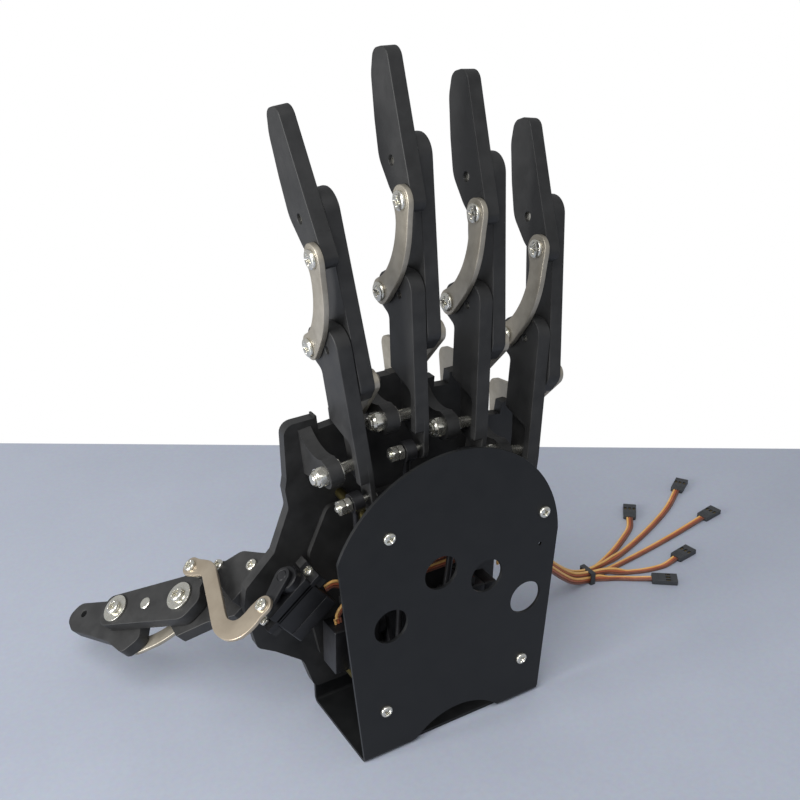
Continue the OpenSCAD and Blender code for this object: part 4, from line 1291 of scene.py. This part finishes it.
    def make_tip_link(self) -> None:
        """Bowed nickel strap with its screw on the tip plate's tail."""
        s = self.sizes
        e = curl_point((0, s.middle), s.leans[1])
        d = curl_point(s.distal_tail, s.leans[1] + s.leans[2])
        far = (e[0] + d[0] - s.tip_link_pin[0], s.proximal + e[1] + d[1] - s.tip_link_pin[1])
        place = (self.proximal @ move(0, *s.tip_link_pin)
                 @ turn("X", -s.ratios[0] * 0.94 * self.curl))
        span, bow = math.hypot(*far), self.bow
        r = (span * span / 4 + bow * bow) / (2 * bow)
        a0, a1 = math.atan2(r - bow, -span / 2), math.atan2(r - bow, span / 2)
        line, radii, steps = [], [], 22
        head = math.atan2(far[1], far[0])
        for k in range(steps + 1):
            a = a0 + (a1 - a0) * k / steps
            p = Vector((span / 2 + r * math.cos(a), bow - r + r * math.sin(a)))
            line.append((p.x * math.cos(head) - p.y * math.sin(head),
                         p.x * math.sin(head) + p.y * math.cos(head)))
            near, end = math.exp(-(k / 2.4) ** 2), math.exp(-((steps - k) / 2.4) ** 2)
            radii.append(4.35 + 1.15 * near + 1.65 * end)
        strap = thick_line(line, radii, 16)
        parts: Meshes = [
            (slab([strap], -2.8, -0.3, 0.35, place @ ALONG_X), 0),
            (cross_screw(4.0, 1.7, 1.5, 2.4, self._along(place, far, -2.9, FACE_LEFT)), 1)]
        self._piece("tip_strap", "tip_link", parts, "satin_nickel",
                    Finishes.STRAP, Finishes.SCREW)

    def build(self) -> None:
        """All pieces of the finger."""
        self.make_proximal()
        self.make_middle()
        self.make_distal()
        self.make_tip_link()


# ---------------------------------------------------------------- fixed hardware

@dataclass
class Hardware:
    """Screws, nuts and washers that stay with the bracket and the palm.

    Args:
        shop: makes the pieces.
        nut: width across flats, bore radius, height and collar of the axles' locking nuts.
        washer: bore radius, outer radius and thickness of the axles' washers.
        head: radius and z of each ring of the axle bolts' pan heads.
        shaft: radius and z of each ring of their shafts.
    """

    shop: Workshop
    nut: tuple[float, float, float, float] = (8.0, 2.5, 5.0, 1.5)
    washer: Point3 = (2.55, 5.0, 1.0)
    head: tuple[Point2, ...] = ((4.3, 0), (4.3, 1.3), (3.7, 2.2), (2.6, 2.7))
    shaft: tuple[Point2, ...] = ((2.1, -22.6), (2.5, -22.2), (2.5, 0))

    def seats(self, x: float, face: Matrix, p: Point2 = (0, 0)) -> Places:
        """The same seat on every finger.

        Args:
            x: distance along the axle.
            face: way that the fastener points.
            p: point in the finger's plane, from the axle.

        Returns:
            Matrix and size factor of each seat.
        """
        return [(move(f.x, AXLE_Y, f.z) @ turn("Y", f.fan) @ move(x, *p) @ face, 1.0)
                for f in PLACES.values()]

    def spread(self, name: str, node: str, template: bpy.types.Mesh, places: Places,
               spin: float = 1.2, seed: int = 7) -> None:
        """One template at all places, as the piece that stands for a CAD node.

        Args:
            name, node: names of the piece and of the CAD node.
            template: the fastener.
            places: matrix and size factor of each copy.
            spin, seed: largest random turn in radians, and its start.
        """
        mesh = self.shop.scatter.run(template, places, self.shop.finishes.get(Finishes.SCREW),
                                     spin, seed)
        self.shop.piece(name, [(mesh, 0)], [Finishes.SCREW], "frame", "bright_nickel", [node])

    def build(self) -> None:
        """All fixed fasteners, one piece for each CAD node."""
        screws = self.shop.screws
        screws("cover_cross_screws",
               [(move(x, COVER_Y, z) @ FACE_FRONT, 1.0) for x, z in STANDOFFS],
               "frame", "cover_screws")
        # a screw that is not wholly on the back wall seats on the palm plate itself
        screws("rear_cross_screws",
               [(move(x, BACK_Y if z < BACK_TOP - 2 else PALM_BACK_Y, z) @ FACE_BACK, 1.0)
                for x, z in STANDOFFS], "frame", "rear_screws")
        screws("flange_cross_screws",
               [(move(x, PALM_Y, z) @ FACE_FRONT, 1.0) for x, z in FLANGE],
               "frame", "flange_screws")
        screws("link_ground_screws", self.seats(16.1, FACE_RIGHT, SIZES.ground_pin),
               "frame", "link_pins", length=7.2)
        flats, bore, height, collar = self.nut
        self.spread("axle_lock_nuts", "axle_nuts",
                    hex_nut(flats, bore, height, FACE_UP, collar), self.seats(-10, FACE_LEFT),
                    seed=3)
        inner, outer, thick = self.washer
        self.spread("axle_flat_washers", "axle_washers",
                    slab([ring((0, 0), outer, 64), ring((0, 0), inner, 48)], 0, thick, 0.15),
                    self.seats(-3, FACE_LEFT), spin=0.0)
        bolt = merged("bolt", [(lathe(self.head, FACE_UP, 48, 50), 0),
                               (lathe(self.shaft, FACE_UP, 40), 0)])
        self.spread("axle_pan_bolts", "axle_bolts", bolt, self.seats(6.6, FACE_RIGHT))


# ---------------------------------------------------------------- servos

@dataclass
class Servos:
    """Micro servos: three-part cases with seams, gear tower, ears and ear screws.

    Args:
        shop: makes the pieces.
        thumb: frame of the thumb.
        case_l, case_w, case_h: sizes of the case.
        tower: height of the gear tower over the case.
        end: distance from the shaft to the case's near end.
        ear_l: length over both ears.
        ear_t: thickness of the ears.
        ear_drop: distance from the case's top to the ears.
    """

    shop: Workshop
    thumb: Matrix
    case_l: float = 22.8
    case_w: float = 12.2
    case_h: float = 22.5
    tower: float = 4.0
    end: float = 5.9
    ear_l: float = 32.2
    ear_t: float = 2.5
    ear_drop: float = 4.0

    def __post_init__(self) -> None:
        """Places each servo with its shaft along local z."""
        self.places: dict[str, Matrix] = {}
        for finger, p in PLACES.items():
            drop = (p.z - p.servo_z) / math.cos(math.radians(p.fan))
            near = 1.5 if p.servo_side > 0 else -5.9
            tower = near + 2.3 if p.servo_side > 0 else near - 0.3
            self.places[finger.label] = (
                move(p.x, AXLE_Y, p.z) @ turn("Y", p.fan) @ move(tower, 6, -drop)
                @ turn("Y", -90 * p.servo_side) @ turn("Z", 0 if p.servo_side > 0 else 180))
        self.places["thumb"] = self.thumb @ move(-7, -14, 2.5)

    def case(self, label: str, place: Matrix) -> None:
        """One servo without its horn.

        Args:
            label: name of the finger that it drives.
            place: matrix of its shaft.
        """
        x0, x1, w = self.end - self.case_l, self.end, self.case_w / 2
        box = oblong(x0, x1, -w, w, 0.9, 5)
        top = -self.tower
        # two seams part the case into base, body and lid
        cuts = (top - self.case_h, top - self.case_h + 6.6, top - 5.4, top)
        parts: Meshes = [(slab([box], a + 0.04, b - 0.04, 0.28, place), 0)
                         for a, b in zip(cuts, cuts[1:])]
        ear = (self.ear_l - self.case_l) / 2
        holes = [ring((x, 0), 1.1, 20) for x in (x0 - ear + 2.3, x1 + ear - 2.3)]
        z = top - self.ear_drop
        wings = oblong(x0 - ear, x1 + ear, -w, w, 0.6, 4)
        parts += [
            (slab([wings, *holes], z - self.ear_t, z, 0.2, place), 0),
            (lathe([(5.9, top - 0.2), (5.9, -0.5), (5.4, 0), (2.8, 0)], place, 48), 0),
            (lathe([(2.8, top - 0.2), (2.8, -0.4), (2.4, 0)],
                   place @ move(-8.8, 0, 0), 32), 0),
            (lathe([(2.4, -0.5), (2.4, 1.9), (2.1, 2.2)], place, 21), 0)]
        self.shop.piece(f"{label}_servo_case", parts, [Finishes.CASE], "frame", "servo_case",
                        [f"{label}_servo"])

    def build(self) -> None:
        """All servos and their ear screws."""
        seats = []
        for label, place in self.places.items():
            self.case(label, place)
            size = 1.32 if label == "thumb" else 1.0
            seats += [(place @ move(x, 0, -8.0), size) for x in (-19.3, 8.3)]
        self.shop.screws("servo_ear_screws", seats, "frame", "servo_screws", (1.9, 1.4), 0.72, 3.2)


# ---------------------------------------------------------------- thumb

@dataclass
class Thumb:
    """Thumb plates, links and screws, drawn in the thumb's own plane.

    Args:
        shop: makes the pieces.
        origin, tilt: place of the thumb's plane and its turn about y in degrees.
        knuckle: joint between the mount and the first plate.
        heading: way of the first plate from its knuckle, in degrees.
        reach: distance from the knuckle to the end joint.
        strap_pin: pivot of the under strap on the mount.
        hook_pin: pivot of the hook strap on the first plate.
        shaft, crank: shaft of the servo, and pin of its arm.
        plate_low: lower face of the first plate.
        low, deep: upper and lower face of the tip plate and of the mount's lug.
        bevel: radius of the plates' rounded edges.
        bow: rise of the under strap over its straight line.
    """

    shop: Workshop
    origin: Point3 = (-60.3, 19.0, 93.0)
    tilt: float = 38.0
    knuckle: Point2 = (-48.9, 34.5)
    heading: float = 133.2
    reach: float = 41.3
    strap_pin: Point2 = (-41.0, 39.2)
    hook_pin: Point2 = (-35.0, 35.0)
    shaft: Point2 = (-7.0, -14.0)
    crank: Point2 = (-21.0, -20.0)
    plate_low: float = -6.2
    low: float = -6.5
    deep: float = -12.7
    bevel: float = 0.4
    bow: float = 6.0

    def __post_init__(self) -> None:
        """Places the thumb's plane."""
        self.frame = move(*self.origin) @ turn("Y", -self.tilt)

    def along(self, reach: float) -> Point2:
        """Point of the first plate at a distance from its knuckle."""
        a = math.radians(self.heading)
        return (self.knuckle[0] + reach * math.cos(a), self.knuckle[1] + reach * math.sin(a))

    def at(self, p: Point2, z: float, face: Matrix = FACE_UP) -> Matrix:
        """Matrix of a fastener at a point of the plane."""
        return self.frame @ move(p[0], p[1], z) @ face

    def make_base(self) -> None:
        """Deck, lug under the first plate, and foot against the palm plate."""
        root, f = 4.5, self.frame
        deck = rounded([(-3.5, root, 0.5), (-8.0, 12.5, 5), (-13.8, 23.4, 7), (-22.6, 27.4, 3),
                        (-26.0, 32.9, 2.5), (-29.0, 33.0, 1.2), (-29.6, 28.5, 4),
                        (-31.5, 20, 3), (-31.5, root, 0.5)])
        lug = rounded([(-26, root, 0), (-36, root, 1), (-47.5, 15.5, 14), (-62.6, 25.0, 1.5),
                       (-62.0, 36, 5), (-52, 43.6, 6), (-34, 43.6, 6), (-25, 31, 2)])
        foot = rounded([(-27.5, -1, 1), (-4, -1, 1), (-4, -16, 5), (-13, -36, 5),
                        (-27.5, -37, 5)])
        stand = f @ Matrix(((1, 0, 0, 0), (0, 0, -1, root + 5), (0, 1, 0, 0), (0, 0, 0, 1)))
        parts: Meshes = [
            (slab([deck], self.deep, 0, self.bevel, f), 0),
            (slab([lug], self.deep + 0.02, self.low, self.bevel, f), 0),
            (slab([foot], 0, 5, self.bevel, stand), 0)]
        self.shop.piece("thumb_mount", parts, [Finishes.PLATE], "frame", "black_plate",
                        ["thumb_base"])

    def make_base_screws(self) -> None:
        """Deck screws, and the pivots of the first plate and of the tip link."""
        places = [(self.at((-14.6, 10.8), 0), 1.0), (self.at((-26.3, 28.7), 0), 1.0)]
        extra: Meshes = [
            (washer(2.05, 6.8, 1.0, self.at(self.knuckle, 0.1)), 0),
            (cross_screw(3.6, 2.4, 2.0, 13.5, self.at(self.knuckle, 1.2)), 0),
            (cross_screw(2.8, 1.7, 1.5, 7.5, self.at(self.strap_pin, -15.1, FACE_DOWN)), 0)]
        self.shop.screws("thumb_deck_screws", places, "frame", "thumb_base_screws", length=8,
                         extra=extra)

    def make_proximal(self) -> None:
        """First plate with its washer, screw and rivet."""
        outline = rounded([(-77.5, 76.2, 5.5), (-89.4, 66.8, 5), (-54.3, 22.6, 8),
                           (-42.0, 22.6, 7), (-38.6, 29.0, 4), (-31.0, 29.2, 5), (-29.6, 38.2, 5),
                           (-38.0, 41.0, 6), (-41.5, 42.2, 5)])
        end, rivet = self.along(self.reach), self.along(22)
        parts: Meshes = [
            (slab([outline], self.plate_low, 0, self.bevel, self.frame), 0),
            (washer(2.05, 6.8, 1.0, self.at(end, 0.1)), 1),
            (cross_screw(3.6, 2.4, 2.0, 12.5, self.at(end, 1.2)), 1),
            (lathe([(2.9, -0.3), (2.9, 0.2), (2.5, 0.5)], self.at(rivet, 0), 40, 20), 1)]
        self.shop.piece("thumb_first_plate", parts, [Finishes.PLATE, Finishes.SCREW],
                        "thumb_proximal", "black_plate", ["thumb_proximal"])

    def make_distal(self) -> None:
        """Tip plate with its small hole and short tail."""
        outline = rounded([(-69.4, 68.1, 6), (-93.3, 99.0, 7), (-103.3, 99.4, 7.5),
                           (-104.6, 89.5, 6), (-91.7, 61.6, 14), (-88.6, 47.2, 4.5),
                           (-77.5, 44.5, 4.5), (-67.6, 57.6, 8)], 14)
        hole = ring((-94.7, 91.1), 1.8, 32)
        parts: Meshes = [
            (slab([outline, hole], self.deep, self.low, self.bevel, self.frame), 0)]
        self.shop.piece("thumb_tip_plate", parts, [Finishes.PLATE], "thumb_distal", "black_plate",
                        ["thumb_distal"])

    def make_tip_link(self) -> None:
        """Bowed strap under the thumb."""
        far = (-82.4, 50.4)
        v = Vector(far) - Vector(self.strap_pin)
        span, bow = v.length, self.bow
        r = (span * span / 4 + bow * bow) / (2 * bow)
        a0, a1 = math.atan2(r - bow, -span / 2), math.atan2(r - bow, span / 2)
        head, line, steps = math.atan2(v.y, v.x), [], 18
        for k in range(steps + 1):
            a = a0 + (a1 - a0) * k / steps
            x, y = span / 2 + r * math.cos(a), bow - r + r * math.sin(a)
            line.append((self.strap_pin[0] + x * math.cos(head) - y * math.sin(head),
                         self.strap_pin[1] + x * math.sin(head) + y * math.cos(head)))
        radii = [3.3 + 0.95 * (math.exp(-(k / 2) ** 2) + math.exp(-((steps - k) / 2) ** 2))
                 for k in range(steps + 1)]
        top = self.deep - 0.3
        parts: Meshes = [
            (slab([thick_line(line, radii, 14)], top - 2, top, 0.3, self.frame), 0),
            (cross_screw(2.8, 1.7, 1.5, 2.0, self.at(far, top - 2.1, FACE_DOWN)), 1)]
        self.shop.piece("thumb_under_strap", parts, [Finishes.STRAP, Finishes.SCREW],
                        "thumb_tip_link", "satin_nickel", ["thumb_tip_link"])

    def make_drive_link(self) -> None:
        """Hook-shaped strap from the crank to the first plate."""
        line = [self.hook_pin, (-33.4, 31.6), (-31.2, 28.0), (-30.0, 25.2), (-30.1, 22.4),
                (-31.2, 19.0), (-35.4, 6.2), (-39.4, -5.8), (-39.6, -11.0), (-37.6, -16.0),
                (-33.8, -19.0), (-29.0, -19.9), (-25.2, -19.6), self.crank]
        radii = [4.6, 4.2, 3.95, 3.85, 3.85, 3.85, 3.85, 3.95, 4.2, 4.6, 4.9, 4.9, 4.7, 4.6]
        per, high = 5, 6.8
        fine = [(p.x, p.y) for p in spline_points([Vector((*p, 0)) for p in line], per)]
        wide = [radii[k // per] + (radii[min(k // per + 1, len(radii) - 1)] - radii[k // per])
                * (k % per) / per for k in range(len(fine))]
        parts: Meshes = [
            (slab([thick_line(fine, wide, 16)], 5.0, high, 0.3, self.frame), 0),
            (cross_screw(2.9, 1.7, 1.5, 2.0, self.at(self.hook_pin, high + 0.1)), 1),
            (slab([ring((0, 0), 3.0, 40), ring((0, 0), 1.55, 32)], 0.3, 5.0, 0.2,
                  self.at(self.hook_pin, 0)), 1)]
        self.shop.piece("thumb_hook_strap", parts, [Finishes.DRIVE, Finishes.SCREW],
                        "thumb_drive_link", "satin_nickel", ["thumb_drive_link"])

    def make_horn(self) -> None:
        """Servo arm below the hook strap, with the crank screw."""
        line = [self.shaft, (-14, -17), self.crank]
        parts: Meshes = [
            (slab([thick_line(line, [4.0, 3.5, 3.2], 14), ring(self.shaft, 2.45, 32)],
                  2.8, 4.7, 0.25, self.frame), 0),
            (cross_screw(2.9, 1.7, 1.5, 4.2, self.at(self.crank, 6.9)), 1)]
        self.shop.piece("thumb_servo_arm", parts, [Finishes.CASE, Finishes.SCREW], "thumb_horn",
                        "horn_plastic", ["thumb_horn"])

    def build(self) -> None:
        """All pieces of the thumb."""
        self.make_base()
        self.make_base_screws()
        self.make_proximal()
        self.make_distal()
        self.make_tip_link()
        self.make_drive_link()
        self.make_horn()


# ---------------------------------------------------------------- main

def dress_cad(shop: Workshop) -> None:
    """Finishes for the CAD nodes that stay as they are.

    Args:
        shop: gives the finishes.
    """
    labels = [f.label for f in Finger]
    shop.dress(["palm_bracket"], Finishes.SHEET, 0.3)
    shop.dress(["palm_plate", "servo_mount"], Finishes.PLATE, 0.35)
    shop.dress(["standoffs"], Finishes.BRASS, 0.2)
    shop.dress([f"{n}_knuckle_link" for n in labels], Finishes.STRAP, 0.3)
    shop.dress([f"{n}_rod" for n in labels], Finishes.ROD, 0.25)
    shop.dress([f"{n}_horn" for n in labels], Finishes.CASE, 0.2)
    shop.dress(["lead_tie"], Finishes.NYLON, 0.15)


def main() -> None:
    """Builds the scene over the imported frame."""
    logging.basicConfig(level=logging.INFO, format="%(name)s %(message)s")
    scene = bpy.context.scene
    scene.view_settings.view_transform = "Standard"
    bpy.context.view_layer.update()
    shop = Workshop()
    studio = Studio()
    studio.camera()
    Leads(shop).build()
    studio.floor(shop)
    studio.world()
    studio.light()
    dress_cad(shop)
    for finger in Finger:
        FingerPieces(shop, finger).build()
    Hardware(shop).build()
    thumb = Thumb(shop)
    thumb.build()
    Servos(shop, thumb.frame).build()


if __name__ == "__main__":
    main()
